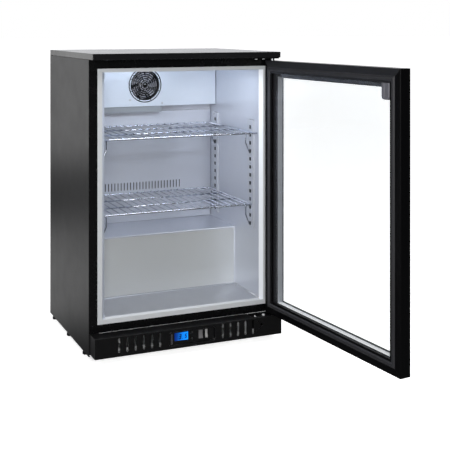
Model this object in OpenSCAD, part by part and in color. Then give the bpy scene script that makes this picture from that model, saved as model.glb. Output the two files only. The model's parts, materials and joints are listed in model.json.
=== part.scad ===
// Undercounter refrigerator: single glass door, foamed cabinet, rear machine compartment.
// The cabinet is laid out with X across the front from its left side, Y from the front edge of the
// top cap to the back, and Z up from the floor. Every sub-part is then moved so that the origin is
// the centre of the front left foot's contact face.

/* [Cabinet] */
// Overall width
body_w = 600; // [560:5:620]
// Depth from the front edge of the cap to the back
body_d = 460; // [460:5:500]
// Overall height from the floor
body_h = 876; // [860:2:900]
// Gap between the floor and the side panels
foot_gap = 13; // [12:1:20]
// Height of the cap's front band
cap_h = 18; // [16:1:24]
// How far the front face is set back under the cap
face_y = 38; // [38:0.5:40]
// Thickness of the steel sheet
sheet = 1; // [0.8:0.1:1.2]

/* [Interior] */
// Insulation thickness at the sides
side_wall = 50; // [46:1:54]
// Height of the interior floor above the ground
floor_z = 118; // [116:1:122]
// Height of the interior ceiling above the ground
ceiling_z = 824; // [820:1:826]
// Depth of the interior back wall, from the cap front
liner_back_y = 400; // [396:1:404]
// Front face of the step over the machine compartment
step_y = 210; // [205:1:220]
// Top of the step
step_z = 304.5; // [295:0.5:315]
// Height of the upper shelf
upper_shelf_z = 624; // [612:1:640]
// Height of the lower shelf
lower_shelf_z = 401; // [390:1:412]
// Number of wires in a shelf
shelf_wires = 19; // [11:2:23]

/* [Door] */
// Opening angle of the door as drawn
door_open = 95.5; // [0:0.5:110]
// Door width
door_w = 594; // [590:1:596]
// Door thickness without the gasket
door_t = 34; // [34:1:36]
// Bottom edge of the door
door_z0 = 81; // [80:1:84]
// Top edge of the door
door_z1 = 849; // [840:1:850]
// Width of the door frame members
member_w = 38; // [36:1:42]
// Distance of the hinge axis from the door's hinge edge
pivot_edge = 17; // [17:0.5:18]
// Distance of the hinge axis behind the door's outer face
pivot_depth = 16; // [16:0.5:17]
// Height that the gasket stands proud of the door
gasket_h = 2.6; // [2:0.1:2.6]

/* [Kick grille] */
// Bottom edge of the grille
grille_z0 = 20; // [18:1:22]
// Top edge of the grille
grille_z1 = 77; // [76:0.5:78]
// How far the grille stands in front of the cap
grille_out = 10; // [6:1:12]
// Distance between air slots
slot_pitch = 25; // [22:1:26]
// Number of air slots at the left
left_slots = 6; // [3:1:6]
// Number of air slots at the right
right_slots = 5; // [3:1:5]

/* [Hidden] */
$fn = 48;

// Overlap used where a cut passes through a face, and the gap left between fitted pieces
eps = 0.5;
gap = 0.2;

// Foot positions: the front left foot is the origin
foot_x = 10;
foot_y = 100;
foot_r = 9;
foot_rows = [foot_y, (foot_y + body_d - 28) / 2, body_d - 28];

cap_z = body_h - cap_h;
skin_z = cap_z - gap;
frame_t = 1;
skin_x = sheet + gap;

// Breaker trim: outer edge, flange width and the opening it leaves
trim_x = 26;
trim_z0 = 101;
trim_z1 = 832;
trim_flange = 14;
trim_flange_top = 11;
trim_t = 1;
trim_y = face_y - trim_t;
liner_y = face_y + 10;
liner_t = 1;
inner_x0 = side_wall;
inner_x1 = body_w - side_wall;
inner_w = inner_x1 - inner_x0;

// Machine compartment under and behind the step
floor_foam_z = 84;
step_foam = 35;
room_y = step_y + step_foam;
room_z = step_z - step_foam - 1.5;
back_y = body_d - sheet;
base_z = 18;
base_t = 1.5;
screw_hole_r = 1.6;
grille_screws = [for (x = [30, body_w - 30], z = [40, room_z - 20]) [x, z]];
back_screws = [for (x = [40, body_w / 2, body_w - 40], z = [room_z + 20, skin_z - 15]) [x, z]];

// Grille and controller, measured from the left side of the cabinet
grille_t = 1.5;
grille_x0 = (body_w - door_w) / 2;
slot_w = 6;
slot_h = 42;
slot_mid_z = (grille_z0 + grille_z1) / 2 + 3.5;
left_slot_x = 75;
right_slot_x = 400;
grille_hole_z = 56;
grille_hole_r = 4;
ledge_cut_x = 503;
bezel_x0 = 228;
bezel_x1 = 376;
bezel_z0 = 29;
bezel_z1 = 69;
lcd_x = 268;
lcd_w = 43;
lcd_z = 52;
lcd_h = 23;
button_x = 302;
button_zs = [60, 42];
button_r = 2.6;
rocker_xs = [329.5, 348];
rocker_ws = [12.6, 7];
rocker_h = 24.5;
rocker_tilt = 8;
rocker_z = 50.8;
panel_y = -grille_out + 5;
panel_t = 1.5;

// Evaporator fan, mounted in the front of its cover
cover_y = 352;
cover_z = 690;
cover_t = 1.2;
duct_y = 392;
cover_screws = [[239, 712], [352.4, 699]];
fan_x = 292;
fan_z = 760;
fan_r = 55;
throat_r = fan_r - 6;
guard_r = fan_r + 2.7;
guard_pitch = 7;
guard_ring_w = 2.4;
coil_x0 = 366;
coil_x1 = 530;
cover_x0 = inner_x0 + 2;
cover_x1 = inner_x1 - 2;

// Condenser fan
cond_x = 165;
cond_z = 140;
cond_r = 92;
cond_y = 262;

// Compressor and its four mounting points
comp_x = 450;
comp_y = 355;
comp_r = 70;
comp_foot_z = base_z + base_t + 14;
comp_feet = [for (x = [-90, 90], y = [-55, 55]) [comp_x + x, comp_y + y]];
line_x = 323;
line_y = comp_y - 40;
line_r = 4;

// Mains lead: where it leaves the back, and the side and height of its tied loop
cord_x = 520;
cord_z = 38;
cord_r = 3.5;
loop_x = 495;
loop_z = 147;

// Shelf supports
pilaster_w = 38;
pilaster_t = 6;
pilaster_ys = [74, 328];
pilaster_z0 = 326;
pilaster_z1 = 662;
pilaster_pitch = 25;
shelf_x0 = inner_x0 + pilaster_t + 1;
shelf_x1 = inner_x1 - pilaster_t - 1;
shelf_back_y = duct_y - 8;
upper_front_y = 52;
lower_front_y = 74;
rod_r = 2.5;
wire_r = 1.5;
clip_wire = 4;
clip_arm = 16.5;
clip_drop = 31;
clip_h = 68;

// Door, described closed: outer face at Y = 0, inner face at Y = door_t
door_x0 = (body_w - door_w) / 2;
door_x1 = door_x0 + door_w;
door_h = door_z1 - door_z0;
pivot_x = door_x1 - pivot_edge;
pivot_y = pivot_depth;
hinge_chamfer = 6;
pin_r = 4;
pin_fit = 0.05;
upper_screw_xs = [524, 550];
hinge_bolt = [544, 6.5];
spring_hook = [513, 7];
bracket_x0 = 506;
bracket_x1 = 595;
bracket_t = 3;
glass_t = 4;
glass_gap = 18;
glass_y = 2.5;
pane_bite = 12;
spacer_u = member_w - 8;
spacer_show_hinge = 20;
spacer_show_free = 9;
spacer_show_top = 9;
spacer_show_bottom = 1;
sealant_lip = 5;
wall_t = 2;
chamber_w = 21.6;
chamber_d = 23.5;
groove_u = 19.5;
groove_w = 4;
groove_d = 6.5;
gasket_u = 19;
gasket_w = 13;
key_leg = 45;
lock_x = 57;
lock_y = 12;
lock_z = 834;
bolt_r = 3;

// ---- Shared shapes -------------------------------------------------------------------------

// Moves a sub-part from cabinet coordinates to the part's own origin
module placed() {
  translate([-foot_x, -foot_y, 0]) children();
}

// Turns a sub-part of the closed door to the drawn opening angle
module on_door() {
  translate([pivot_x, pivot_y, 0]) rotate([0, 0, door_open])
    translate([-pivot_x, -pivot_y, 0]) children();
}

// Box between two corners
module block(low, high) {
  translate(low) cube(high - low);
}

// Upright slot outline with rounded ends, centred on the origin
module slot_outline(w, h) {
  polygon([
    for (a = [0:30:180]) [w / 2 * cos(a), h / 2 - w / 2 + w / 2 * sin(a)],
    for (a = [180:30:360]) [w / 2 * cos(a), w / 2 - h / 2 + w / 2 * sin(a)]
  ]);
}

// Rectangle outline with rounded corners, centred on the origin
module round_rect(w, h, r) {
  polygon([
    for (q = [0:3], a = [0:30:90])
      [(q == 0 || q == 3 ? 1 : -1) * (w / 2 - r) + r * cos(90 * q + a),
       (q < 2 ? 1 : -1) * (h / 2 - r) + r * sin(90 * q + a)]
  ]);
}

// Stands an outline drawn in X and Z upright, from y to y + depth
module upright(y, depth) {
  translate([0, y + depth, 0]) rotate([90, 0, 0]) linear_extrude(depth) children();
}

// Straight wire between two points that differ along one axis or lie in one plane
module wire(a, b, r, sides = 8) {
  d = b - a;
  len = norm(d);
  translate(a)
    rotate([0, acos(d.z / len), atan2(d.y, d.x)])
      cylinder(h = len, r = r, $fn = sides);
}

// ---- Outer shell ---------------------------------------------------------------------------

module side_panel() {
  block([0, face_y, foot_gap], [sheet, body_d, skin_z]);
  block([0, face_y, foot_gap], [foot_x - foot_r + 4, body_d, foot_gap + sheet]);
  block([0, body_d - sheet, foot_gap], [12, body_d, skin_z]);
}

module side_panel_left() {
  color("#2b2c2e") side_panel();
}

module side_panel_right() {
  color("#2b2c2e") translate([body_w, 0, 0]) mirror([1, 0, 0]) side_panel();
}

// Folded cap with an overhanging front, open underneath behind its front return
module top_panel() {
  color("#1c1d1f") difference() {
    block([0, 0, cap_z], [body_w, body_d, body_h]);
    block([sheet, sheet, cap_z + sheet], [body_w - sheet, face_y, body_h - sheet]);
    block([sheet, face_y - eps, cap_z - eps], [body_w - sheet, body_d - sheet, body_h - sheet]);
    translate([lock_x, lock_y, cap_z - eps]) cylinder(h = sheet + 2 * eps, r = bolt_r + 1);
  }
}

module back_panel() {
  color("#3a3b3d") difference() {
    block([12 + gap, back_y, room_z], [body_w - 12 - gap, body_d, skin_z]);
    back_screw_holes(back_screws);
  }
}

// Floor of the machine compartment with an upstand that carries the grille and the lower hinge.
// The upstand is cut away behind the air slots, deeper in the middle than at the two sides.
module base_pan() {
  low_z = base_z + 8;
  color("#26272a") difference() {
    union() {
      block([skin_x, face_y, base_z], [body_w - skin_x, back_y - gap, base_z + base_t]);
      block([skin_x, face_y, base_z], [body_w - skin_x, face_y + base_t, grille_z1]);
      for (x = [skin_x, body_w - skin_x - base_t])
        block([x, face_y, base_z], [x + base_t, back_y - gap, base_z + 24]);
    }
    for (w = [[60, 105, 42], [104, 416, grille_z1 - 8], [415, 475, 44]])
      block([w[0], face_y - eps, low_z], [w[1], face_y + base_t + eps, w[2]]);
    for (p = comp_feet) translate([p.x, p.y, base_z - eps]) cylinder(h = base_t + 2 * eps, r = 3.2);
  }
}

// Bent sheet between the foam and the machine compartment
module compartment_partition() {
  t = 1;
  color("#9a9ea2") {
    block([skin_x, face_y + 2, floor_foam_z - t - gap],
          [body_w - skin_x, room_y + t, floor_foam_z - gap]);
    block([skin_x, room_y + gap, floor_foam_z - t - gap],
          [body_w - skin_x, room_y + t + gap, room_z - gap]);
    block([skin_x, room_y + gap, room_z - t - gap], [body_w - skin_x, back_y - gap, room_z - gap]);
  }
}

// Steel face around the opening
module front_frame() {
  color("#141416") difference() {
    block([skin_x, face_y, grille_z1 + 1], [body_w - skin_x, face_y + frame_t, skin_z]);
    block([trim_x + 4, face_y - eps, trim_z0 + 4],
          [body_w - trim_x - 4, face_y + frame_t + eps, trim_z1 - 4]);
  }
}

// Foamed-in-place insulation between the skins and the liner
module insulation_foam() {
  hole = liner_t + gap;
  color("#d9c48a") difference() {
    block([skin_x, face_y + frame_t + gap, floor_foam_z],
          [body_w - skin_x, back_y - gap, body_h - sheet - gap]);
    block([-eps, room_y, -eps], [body_w + eps, body_d + eps, room_z]);
    difference() {
      block([inner_x0 - hole, liner_y - 1, floor_z - hole],
            [inner_x1 + hole, liner_back_y + hole, ceiling_z + hole]);
      block([-eps, step_y + hole, -eps], [body_w + eps, body_d + eps, step_z - hole]);
    }
    block([trim_x + 2, 0, trim_z0 + 2], [body_w - trim_x - 2, liner_y + gap, trim_z1 - 2]);
  }
}

// Aluminium liner, stepped over the machine compartment
module inner_liner() {
  function inside() = [
    [liner_y - 1, floor_z], [step_y, floor_z], [step_y, step_z],
    [liner_back_y, step_z], [liner_back_y, ceiling_z], [liner_y - 1, ceiling_z]
  ];
  function outside() = [
    [liner_y + gap, floor_z - liner_t], [step_y + liner_t, floor_z - liner_t],
    [step_y + liner_t, step_z - liner_t], [liner_back_y + liner_t, step_z - liner_t],
    [liner_back_y + liner_t, ceiling_z + liner_t], [liner_y + gap, ceiling_z + liner_t]
  ];
  color("#c9ccd2") difference() {
    translate([inner_x0 - liner_t, 0, 0]) rotate([90, 0, 90]) linear_extrude(inner_w + 2 * liner_t)
      polygon(outside());
    translate([inner_x0, 0, 0]) rotate([90, 0, 90]) linear_extrude(inner_w) polygon(inside());
  }
}

// One upright or level bar of the trim: flange face, then a bevel running in to the liner
module trim_bar(length, flange, inset) {
  linear_extrude(length) polygon([
    [0, trim_y], [flange, trim_y], [inset, liner_y], [inset - 1.5, liner_y],
    [flange - 1.2, face_y], [0, face_y]
  ]);
}

module breaker_trim() {
  trim_w = body_w - 2 * trim_x;
  color("#d5d8da") union() {
    difference() {
      block([trim_x, trim_y, trim_z0], [body_w - trim_x, face_y, trim_z1]);
      block([trim_x + trim_flange - 1, trim_y - eps, trim_z0 + trim_flange - 1],
            [body_w - trim_x - trim_flange + 1, face_y + eps, trim_z1 - trim_flange_top + 1]);
    }
    translate([trim_x, 0, trim_z0 + 5]) trim_bar(trim_z1 - trim_z0 - 10, trim_flange, inner_x0 - trim_x);
    translate([body_w - trim_x, 0, trim_z0 + 5]) mirror([1, 0, 0])
      trim_bar(trim_z1 - trim_z0 - 10, trim_flange, inner_x0 - trim_x);
    translate([trim_x + 5, 0, trim_z0]) rotate([0, 90, 0]) mirror([1, 0, 0])
      trim_bar(trim_w - 10, trim_flange, floor_z - trim_z0);
    translate([trim_x + 5, 0, trim_z1]) rotate([0, 90, 0])
      trim_bar(trim_w - 10, trim_flange_top, trim_z1 - ceiling_z);
  }
}

// Screwed-in glide feet
module feet() {
  color("#111112") for (x = [foot_x, body_w - foot_x], y = foot_rows) translate([x, y, 0]) {
    cylinder(h = foot_gap - 2, r = foot_r);
    cylinder(h = base_z - 0.1, r = foot_r - 5);
  }
}

// Pan-head screw with a cross recess, pointing down
module panel_screw() {
  difference() {
    union() {
      cylinder(h = 1.6, r = 3.2);
      translate([0, 0, -1.2]) cylinder(h = 1.3, r = 1.4);
    }
    for (a = [0, 90]) rotate([0, 0, a]) translate([-1.9, -0.4, 0.8]) cube([3.8, 0.8, 1]);
  }
}

// Clearance holes for screws through the back sheets
module back_screw_holes(places) {
  for (p = places) translate([p.x, back_y - eps, p.y]) rotate([-90, 0, 0])
    cylinder(h = sheet + 2 * eps, r = screw_hole_r);
}

// The same screw holds the evaporator cover, the back panel and the rear grille
module panel_screws() {
  color("#85888c") {
    for (p = cover_screws) translate([p.x, cover_y - 0.05, p.y]) rotate([90, 0, 0]) panel_screw();
    for (p = concat(grille_screws, back_screws))
      translate([p.x, body_d + 0.05, p.y]) rotate([-90, 0, 0]) panel_screw();
  }
}

// ---- Kick grille and controls --------------------------------------------------------------

module kick_grille() {
  low = [grille_x0, -grille_out, grille_z0];
  high = [body_w - grille_x0, face_y - gap, grille_z1];
  color("#131314") difference() {
    block(low, high);
    block([low.x + grille_t, low.y + grille_t, low.z - eps],
          [high.x - grille_t, high.y + eps, high.z - grille_t]);
    for (k = [0:left_slots - 1]) translate([left_slot_x + k * slot_pitch, 0, slot_mid_z])
      upright(low.y - eps, grille_t + 2 * eps) slot_outline(slot_w, slot_h);
    for (k = [0:right_slots - 1]) translate([right_slot_x + k * slot_pitch, 0, slot_mid_z])
      upright(low.y - eps, grille_t + 2 * eps) slot_outline(slot_w, slot_h);
    translate([(bezel_x0 + bezel_x1) / 2, 0, (bezel_z0 + bezel_z1) / 2])
      upright(low.y - eps, grille_t + 2 * eps)
        round_rect(bezel_x1 - bezel_x0 + 2 * gap, bezel_z1 - bezel_z0 + 2 * gap, 8);
    translate([right_slot_x + right_slots * slot_pitch + 4, low.y - eps, grille_hole_z]) rotate([-90, 0, 0])
      cylinder(h = grille_t + 2 * eps, r = grille_hole_r);
    block([ledge_cut_x, eps, high.z - 2 * grille_t], [body_w, face_y, high.z + eps]);
  }
}

// Recessed panel that frames the display, the buttons and the switches
module controller_bezel() {
  mid = [(bezel_x0 + bezel_x1) / 2, 0, (bezel_z0 + bezel_z1) / 2];
  w = bezel_x1 - bezel_x0;
  h = bezel_z1 - bezel_z0;
  color("#0f0f10") difference() {
    translate(mid) upright(-grille_out, panel_y + panel_t + grille_out) round_rect(w, h, 8);
    translate(mid + [7, 0, 0]) upright(-grille_out - eps, panel_y + grille_out + eps)
      round_rect(w - 18, h - 3, 6);
    translate([bezel_x0 + 8, 0, mid.z]) upright(-grille_out - eps, 3.5) slot_outline(5, h - 9);
    block([lcd_x - lcd_w / 2, panel_y - eps, lcd_z - lcd_h / 2],
          [lcd_x + lcd_w / 2, panel_y + panel_t + eps, lcd_z + lcd_h / 2]);
    for (z = button_zs) translate([button_x, panel_y - eps, z]) rotate([-90, 0, 0])
      cylinder(h = panel_t + 2 * eps, r = button_r + 0.3);
    for (k = [0, 1]) translate([rocker_xs[k], 0, rocker_z])
      block([-rocker_ws[k] / 2 - 0.4, panel_y - eps, -rocker_h / 2 - 0.6],
            [rocker_ws[k] / 2 + 0.4, panel_y + panel_t + eps, rocker_h / 2 + 0.6]);
  }
}

// Closed case of the thermostat behind the bezel, with room for the switch bodies
module controller_housing() {
  y0 = panel_y + panel_t + gap;
  color("#3c4248") difference() {
    block([bezel_x0 + 8, y0, bezel_z0 + 1], [bezel_x1 - 2, 32, bezel_z1 - 1]);
    block([lcd_x - lcd_w / 2 - 2, y0 - eps, lcd_z - lcd_h / 2 - 4],
          [button_x + 6, y0 + 14, lcd_z + lcd_h / 2 + 4]);
    block([rocker_xs[0] - rocker_ws[0], y0 - eps, rocker_z - rocker_h / 2 - 3],
          [rocker_xs[1] + rocker_ws[0] - 2, y0 + 16, rocker_z + rocker_h / 2 + 3]);
  }
}

// Display window
module lcd_lens() {
  e = 0.3;
  color("#1467c8") {
    block([lcd_x - lcd_w / 2 + e, panel_y, lcd_z - lcd_h / 2 + e],
          [lcd_x + lcd_w / 2 - e, panel_y + panel_t + 1, lcd_z + lcd_h / 2 - e]);
  }
}

module push_button(z) {
  color("#55585c") translate([button_x, panel_y - 1.4, z]) rotate([-90, 0, 0]) {
    cylinder(h = 6, r = button_r);
    translate([0, 0, 4.2]) cylinder(h = 1.8, r = button_r + 1);
  }
}

module button_up() {
  push_button(button_zs[0]);
}

module button_down() {
  push_button(button_zs[1]);
}

// Rocker tilted to its "on" side about a pivot in the plane of the panel
module rocker(x, w) {
  half = rocker_h / 2;
  color("#4a4d50") translate([x, panel_y + 2.5, rocker_z]) rotate([-rocker_tilt, 0, 0]) rotate([0, 90, 0])
    translate([0, 0, -w / 2]) linear_extrude(w) polygon([
      [-half, -4.6], [0, -3.2], [half, -4.6], [half - 1.5, 2.6], [1.5 - half, 2.6]
    ]);
}

module power_switch() {
  rocker(rocker_xs[0], rocker_ws[0]);
}

module light_switch() {
  rocker(rocker_xs[1], rocker_ws[1]);
}

// ---- Cold side -----------------------------------------------------------------------------

// Folded cover across the back of the ceiling, cut for the fan
module evaporator_cover() {
  color("#dfe5ee") difference() {
    block([cover_x0, cover_y, cover_z], [cover_x1, duct_y + 6, ceiling_z - gap]);
    block([cover_x0 + cover_t, cover_y + cover_t, cover_z - eps],
          [cover_x1 - cover_t, duct_y + 6 + eps, ceiling_z + eps]);
    translate([fan_x, cover_y - eps, fan_z]) rotate([-90, 0, 0])
      cylinder(h = cover_t + 2 * eps, r = throat_r);
    for (p = cover_screws) translate([p.x, cover_y - eps, p.y]) rotate([-90, 0, 0])
      cylinder(h = cover_t + 2 * eps, r = screw_hole_r);
  }
}

// Catches melt water under the coil
module drip_tray() {
  low = [cover_x0 + cover_t + gap, cover_y + 6, cover_z - 20];
  high = [coil_x0 - 13, duct_y - 1, cover_z - gap];
  color("#aeb4bc") difference() {
    block(low, high);
    block(low + [1, 1, 1], [high.x - 1, high.y - 1, high.z + eps]);
    translate([high.x - 30, duct_y - 12, low.z - eps]) cylinder(h = 1 + 2 * eps, r = 4);
  }
}

// Ring guard in front of the fan
module fan_guard() {
  t = 2;
  color("#101011") translate([fan_x, cover_y - 0.1, fan_z]) rotate([90, 0, 0]) {
    for (r = [guard_r : -guard_pitch : 2 * guard_pitch]) difference() {
      cylinder(h = t, r = r);
      translate([0, 0, -eps]) cylinder(h = t + 2 * eps, r = r - guard_ring_w);
    }
    cylinder(h = t, r = guard_pitch + 2);
    for (a = [0:45:315]) rotate([0, 0, a]) translate([6, -1.1, 0]) cube([fan_r - 5, 2.2, t]);
  }
}

module evap_fan_frame() {
  half = fan_r + 4;
  color("#1a1a1b") translate([fan_x, 0, fan_z]) difference() {
    block([-half, cover_y + cover_t + gap, -half], [half, duct_y - 10, half]);
    translate([0, cover_y, 0]) rotate([-90, 0, 0]) cylinder(h = 24, r = throat_r);
    for (a = [0:90:270]) rotate([0, a, 0]) rotate([0, 45, 0])
      block([15, cover_y + 23, -15], [throat_r - 2, duct_y, 15]);
    for (x = [-1, 1], z = [-1, 1]) translate([x * (half - 6), cover_y, z * (half - 6)])
      rotate([-90, 0, 0]) cylinder(h = 60, r = 2);
  }
}

// Axial rotor: hub with inclined blades
module rotor(hub_r, tip_r, depth, blades, pitch) {
  cylinder(h = depth, r = hub_r);
  intersection() {
    cylinder(h = depth, r = tip_r);
    for (k = [0:blades - 1]) rotate([0, 0, k * 360 / blades]) translate([hub_r - 2, 0, depth / 2])
      rotate([pitch, 0, 0]) translate([0, -tip_r / 2.4, -0.8]) cube([tip_r, tip_r / 1.2, 1.6]);
  }
}

module evap_fan_rotor() {
  color("#232325") translate([fan_x, cover_y + 21.6, fan_z]) rotate([90, 0, 0])
    rotor(19, throat_r - 2, 17, 7, 38);
}

// Finned coil beside the fan
module evaporator_coil() {
  tube_r = 4.5;
  color("#b9bec4") {
    for (x = [coil_x0:6:coil_x1]) block([x, cover_y + 8, cover_z + 8], [x + 1, duct_y - 2, ceiling_z - 12]);
    for (z = [cover_z + 22:26:ceiling_z - 20]) translate([coil_x0 - 8, duct_y - 16, z])
      rotate([0, 90, 0]) cylinder(h = coil_x1 - coil_x0 + 16, r = tube_r);
  }
}

// Air duct panel across the back wall, with a row of upright slots
module rear_duct_panel() {
  pitch = 11;
  count = 25;
  slot_z = 422;
  color("#bfc4cb") difference() {
    union() {
      block([cover_x0, duct_y, step_z + 1], [cover_x1, duct_y + 1, cover_z - 21]);
      for (x = [cover_x0, cover_x1 - 1])
        block([x, duct_y, step_z + 1], [x + 1, liner_back_y - gap, cover_z - 21]);
    }
    for (k = [0:count - 1]) translate([body_w / 2 + (k - (count - 1) / 2) * pitch, 0, slot_z])
      upright(duct_y - eps, 1 + 2 * eps) slot_outline(3.4, 26);
  }
}

// Slim light bar under the front of the ceiling
module led_light() {
  inset = 20;
  color("#f4f7ff") block([inner_x0 + inset, liner_y + 8, ceiling_z - 3.8],
                         [inner_x1 - inset, liner_y + 26, ceiling_z - gap]);
}

// Sensor bulb in its clip on the end wall of the cover, in the air that returns to the coil
module temperature_probe() {
  wall = cover_x1 - cover_t;
  y = cover_y + 14;
  z = cover_z + 40;
  color("#8f9296") {
    translate([wall - 9, y, z]) cylinder(h = 34, r = 3);
    block([wall - 5, y - 3, z + 12], [wall - gap, y + 3, z + 20]);
    block([wall - 7, y - 2, z + 13], [wall - 4, y + 2, z + 19]);
  }
}

// Slotted shelf supports, two on each side wall
module pilaster(y0) {
  x0 = inner_x1 - pilaster_t;
  color("#c4c9cf") difference() {
    block([x0, y0, pilaster_z0], [inner_x1 - gap, y0 + pilaster_w, pilaster_z1]);
    block([x0 + 1, y0 + 1, pilaster_z0 - eps], [inner_x1 + eps, y0 + pilaster_w - 1, pilaster_z1 + eps]);
    for (z = [pilaster_z0 + 13 : pilaster_pitch : pilaster_z1 - 12])
      block([x0 - eps, y0 + pilaster_w / 2 - 6, z - 5.5], [x0 + 1 + eps, y0 + pilaster_w / 2 + 6, z + 5.5]);
  }
}

module shelf_pilasters() {
  for (y = pilaster_ys) {
    pilaster(y);
    translate([body_w, 0, 0]) mirror([1, 0, 0]) pilaster(y);
  }
}

// Wire shelf: rim and cross rods under a row of wires running front to back. The front rod runs
// past the rim at both ends by the given length.
module wire_shelf(front_y, z, overrun = 1) {
  x0 = shelf_x0 + rod_r;
  x1 = shelf_x1 - rod_r;
  y0 = front_y + rod_r;
  y1 = shelf_back_y - rod_r;
  step = (x1 - x0) / (shelf_wires + 1);
  top_z = z + rod_r + wire_r - 0.8;
  color("#c8ccd4") {
    wire([x0 - overrun, y0, z], [x1 + overrun, y0, z], rod_r);
    for (k = [1:3]) translate([0, y0 + k * (y1 - y0) / 3, z]) wire([x0 - 1, 0, 0], [x1 + 1, 0, 0], rod_r);
    for (x = [x0, x1]) wire([x, y0 - 1, z], [x, y1 + 1, z], rod_r);
    for (k = [1:shelf_wires]) translate([x0 + k * step, 0, top_z])
      wire([0, y0 - 1, 0], [0, y1 + 1, 0], wire_r);
  }
}

module upper_shelf() {
  wire_shelf(upper_front_y, upper_shelf_z, pilaster_t + 1.5);
}

module lower_shelf() {
  wire_shelf(lower_front_y, lower_shelf_z);
}

// Bent-wire bracket that hangs against a pilaster and carries the shelf rim
module shelf_clip(y, z) {
  wall_x = inner_x1 - pilaster_t - 0.4;
  arm_x = wall_x - clip_arm;
  top = z - rod_r - 0.3;
  color("#b4b9c0") upright(y - clip_wire / 2, clip_wire) difference() {
    polygon([
      [wall_x, top], [arm_x, top], [arm_x, top - clip_drop],
      [wall_x - clip_wire, top - clip_h], [wall_x, top - clip_h]
    ]);
    polygon([
      [wall_x - clip_wire, top - clip_wire], [arm_x + clip_wire, top - clip_wire],
      [arm_x + clip_wire, top - clip_drop], [wall_x - clip_wire, top - clip_h + 2 * clip_wire]
    ]);
  }
}

module shelf_clips() {
  for (z = [upper_shelf_z, lower_shelf_z], y = pilaster_ys) {
    shelf_clip(y + pilaster_w / 2, z);
    translate([body_w, 0, 0]) mirror([1, 0, 0]) shelf_clip(y + pilaster_w / 2, z);
  }
}

// ---- Machine compartment -------------------------------------------------------------------

// Hermetic compressor with its welded mounting feet and terminal cover
module compressor() {
  z = comp_foot_z;
  color("#17181a") {
    translate([comp_x, comp_y, z]) {
      cylinder(h = 2.5, r = comp_r - 20);
      translate([0, 0, 2]) cylinder(h = 16, r1 = comp_r - 22, r2 = comp_r);
      translate([0, 0, 18]) cylinder(h = 96, r = comp_r);
      translate([0, 0, 114]) cylinder(h = 26, r1 = comp_r, r2 = comp_r - 24);
      translate([0, 0, 140]) cylinder(h = 8, r1 = comp_r - 24, r2 = comp_r - 50);
    }
    difference() {
      block([comp_x - 105, comp_y - 67, z], [comp_x + 105, comp_y + 67, z + 2.5]);
      for (p = comp_feet) translate([p.x, p.y, z - eps]) cylinder(h = 4, r = 5.2);
    }
    block([comp_x - 25, comp_y - comp_r - 16, z + 40], [comp_x + 25, comp_y - comp_r + 8, z + 95]);
  }
}

module compressor_grommets() {
  z = base_z + base_t;
  color("#0c0c0d") for (p = comp_feet) translate([p.x, p.y, z + 0.1]) difference() {
    union() {
      cylinder(h = 13.6, r = 9);
      cylinder(h = 18, r = 5);
      translate([0, 0, 16.8]) cylinder(h = 3, r = 9);
    }
    translate([0, 0, -eps]) cylinder(h = 21, r = 3);
  }
}

module condenser_coil() {
  x0 = 60;
  x1 = 285;
  color("#3a3c3e") {
    for (x = [x0:7.5:x1]) block([x, room_y + 6, 34], [x + 1, room_y + 14, 246]);
    for (z = [50:30:240], y = [room_y + 10])
      translate([x0 - 10, y, z]) rotate([0, 90, 0]) cylinder(h = x1 - x0 + 20, r = 3);
  }
}

// Shroud that leads the air through the condenser fan
module fan_shroud() {
  color("#2e3033") difference() {
    block([45, cond_y, base_z + base_t + 0.3], [300, cond_y + 24, 252]);
    translate([0, 1.5, 0]) difference() {
      block([46.5, cond_y, base_z + base_t + 2], [298.5, cond_y + 30, 250.5]);
      translate([cond_x, cond_y - 1, cond_z]) rotate([-90, 0, 0]) cylinder(h = 30, r = cond_r + 4.5);
    }
    translate([cond_x, cond_y - 1, cond_z]) rotate([-90, 0, 0]) cylinder(h = 30, r = cond_r + 3);
  }
}

module condenser_fan() {
  color("#b9bcc0") translate([cond_x, cond_y + 22, cond_z]) rotate([90, 0, 0])
    rotor(20, cond_r, 20, 5, 28);
}

// Fan motor on its spider
module condenser_motor() {
  color("#55595e") translate([cond_x, cond_y + 23, cond_z]) {
    rotate([-90, 0, 0]) cylinder(h = 52, r = 34);
    for (a = [45:90:315]) rotate([0, a, 0]) block([30, 3, -6], [cond_r + 8, 5, 6]);
  }
}

// Pipe run from the compressor to the condenser with the filter drier in its upright leg
module refrigerant_lines() {
  top = room_z - 24;
  low = 63;
  out_x = comp_x + 40;
  end_y = 278;
  color("#b06a3a") {
    wire([out_x, line_y, comp_foot_z + 134], [out_x, line_y, top + line_r], line_r, 12);
    wire([out_x, line_y, top], [line_x - 3, line_y, top], line_r, 12);
    wire([line_x, line_y, top + line_r], [line_x, line_y, low - 3], line_r, 12);
    wire([line_x, line_y + 2, low], [line_x, end_y - 3, low], line_r, 12);
    wire([line_x + line_r, end_y, low], [line_x - 17, end_y, low], line_r, 12);
    wire([line_x, line_y, 190], [line_x, line_y, 110], 11, 12);
  }
}

// Lower back cover with rows of louvre slots
module rear_grille() {
  color("#232426") difference() {
    block([12 + gap, back_y, base_z], [body_w - 12 - gap, body_d, room_z - gap]);
    for (x = [60:30:540], z = [60:62:200]) translate([x, 0, z + 20])
      upright(back_y - eps, sheet + 2 * eps) slot_outline(9, 50);
    translate([cord_x, back_y - eps, cord_z]) rotate([-90, 0, 0]) cylinder(h = sheet + 2 * eps, r = 6.5);
    back_screw_holes(grille_screws);
  }
}

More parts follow.
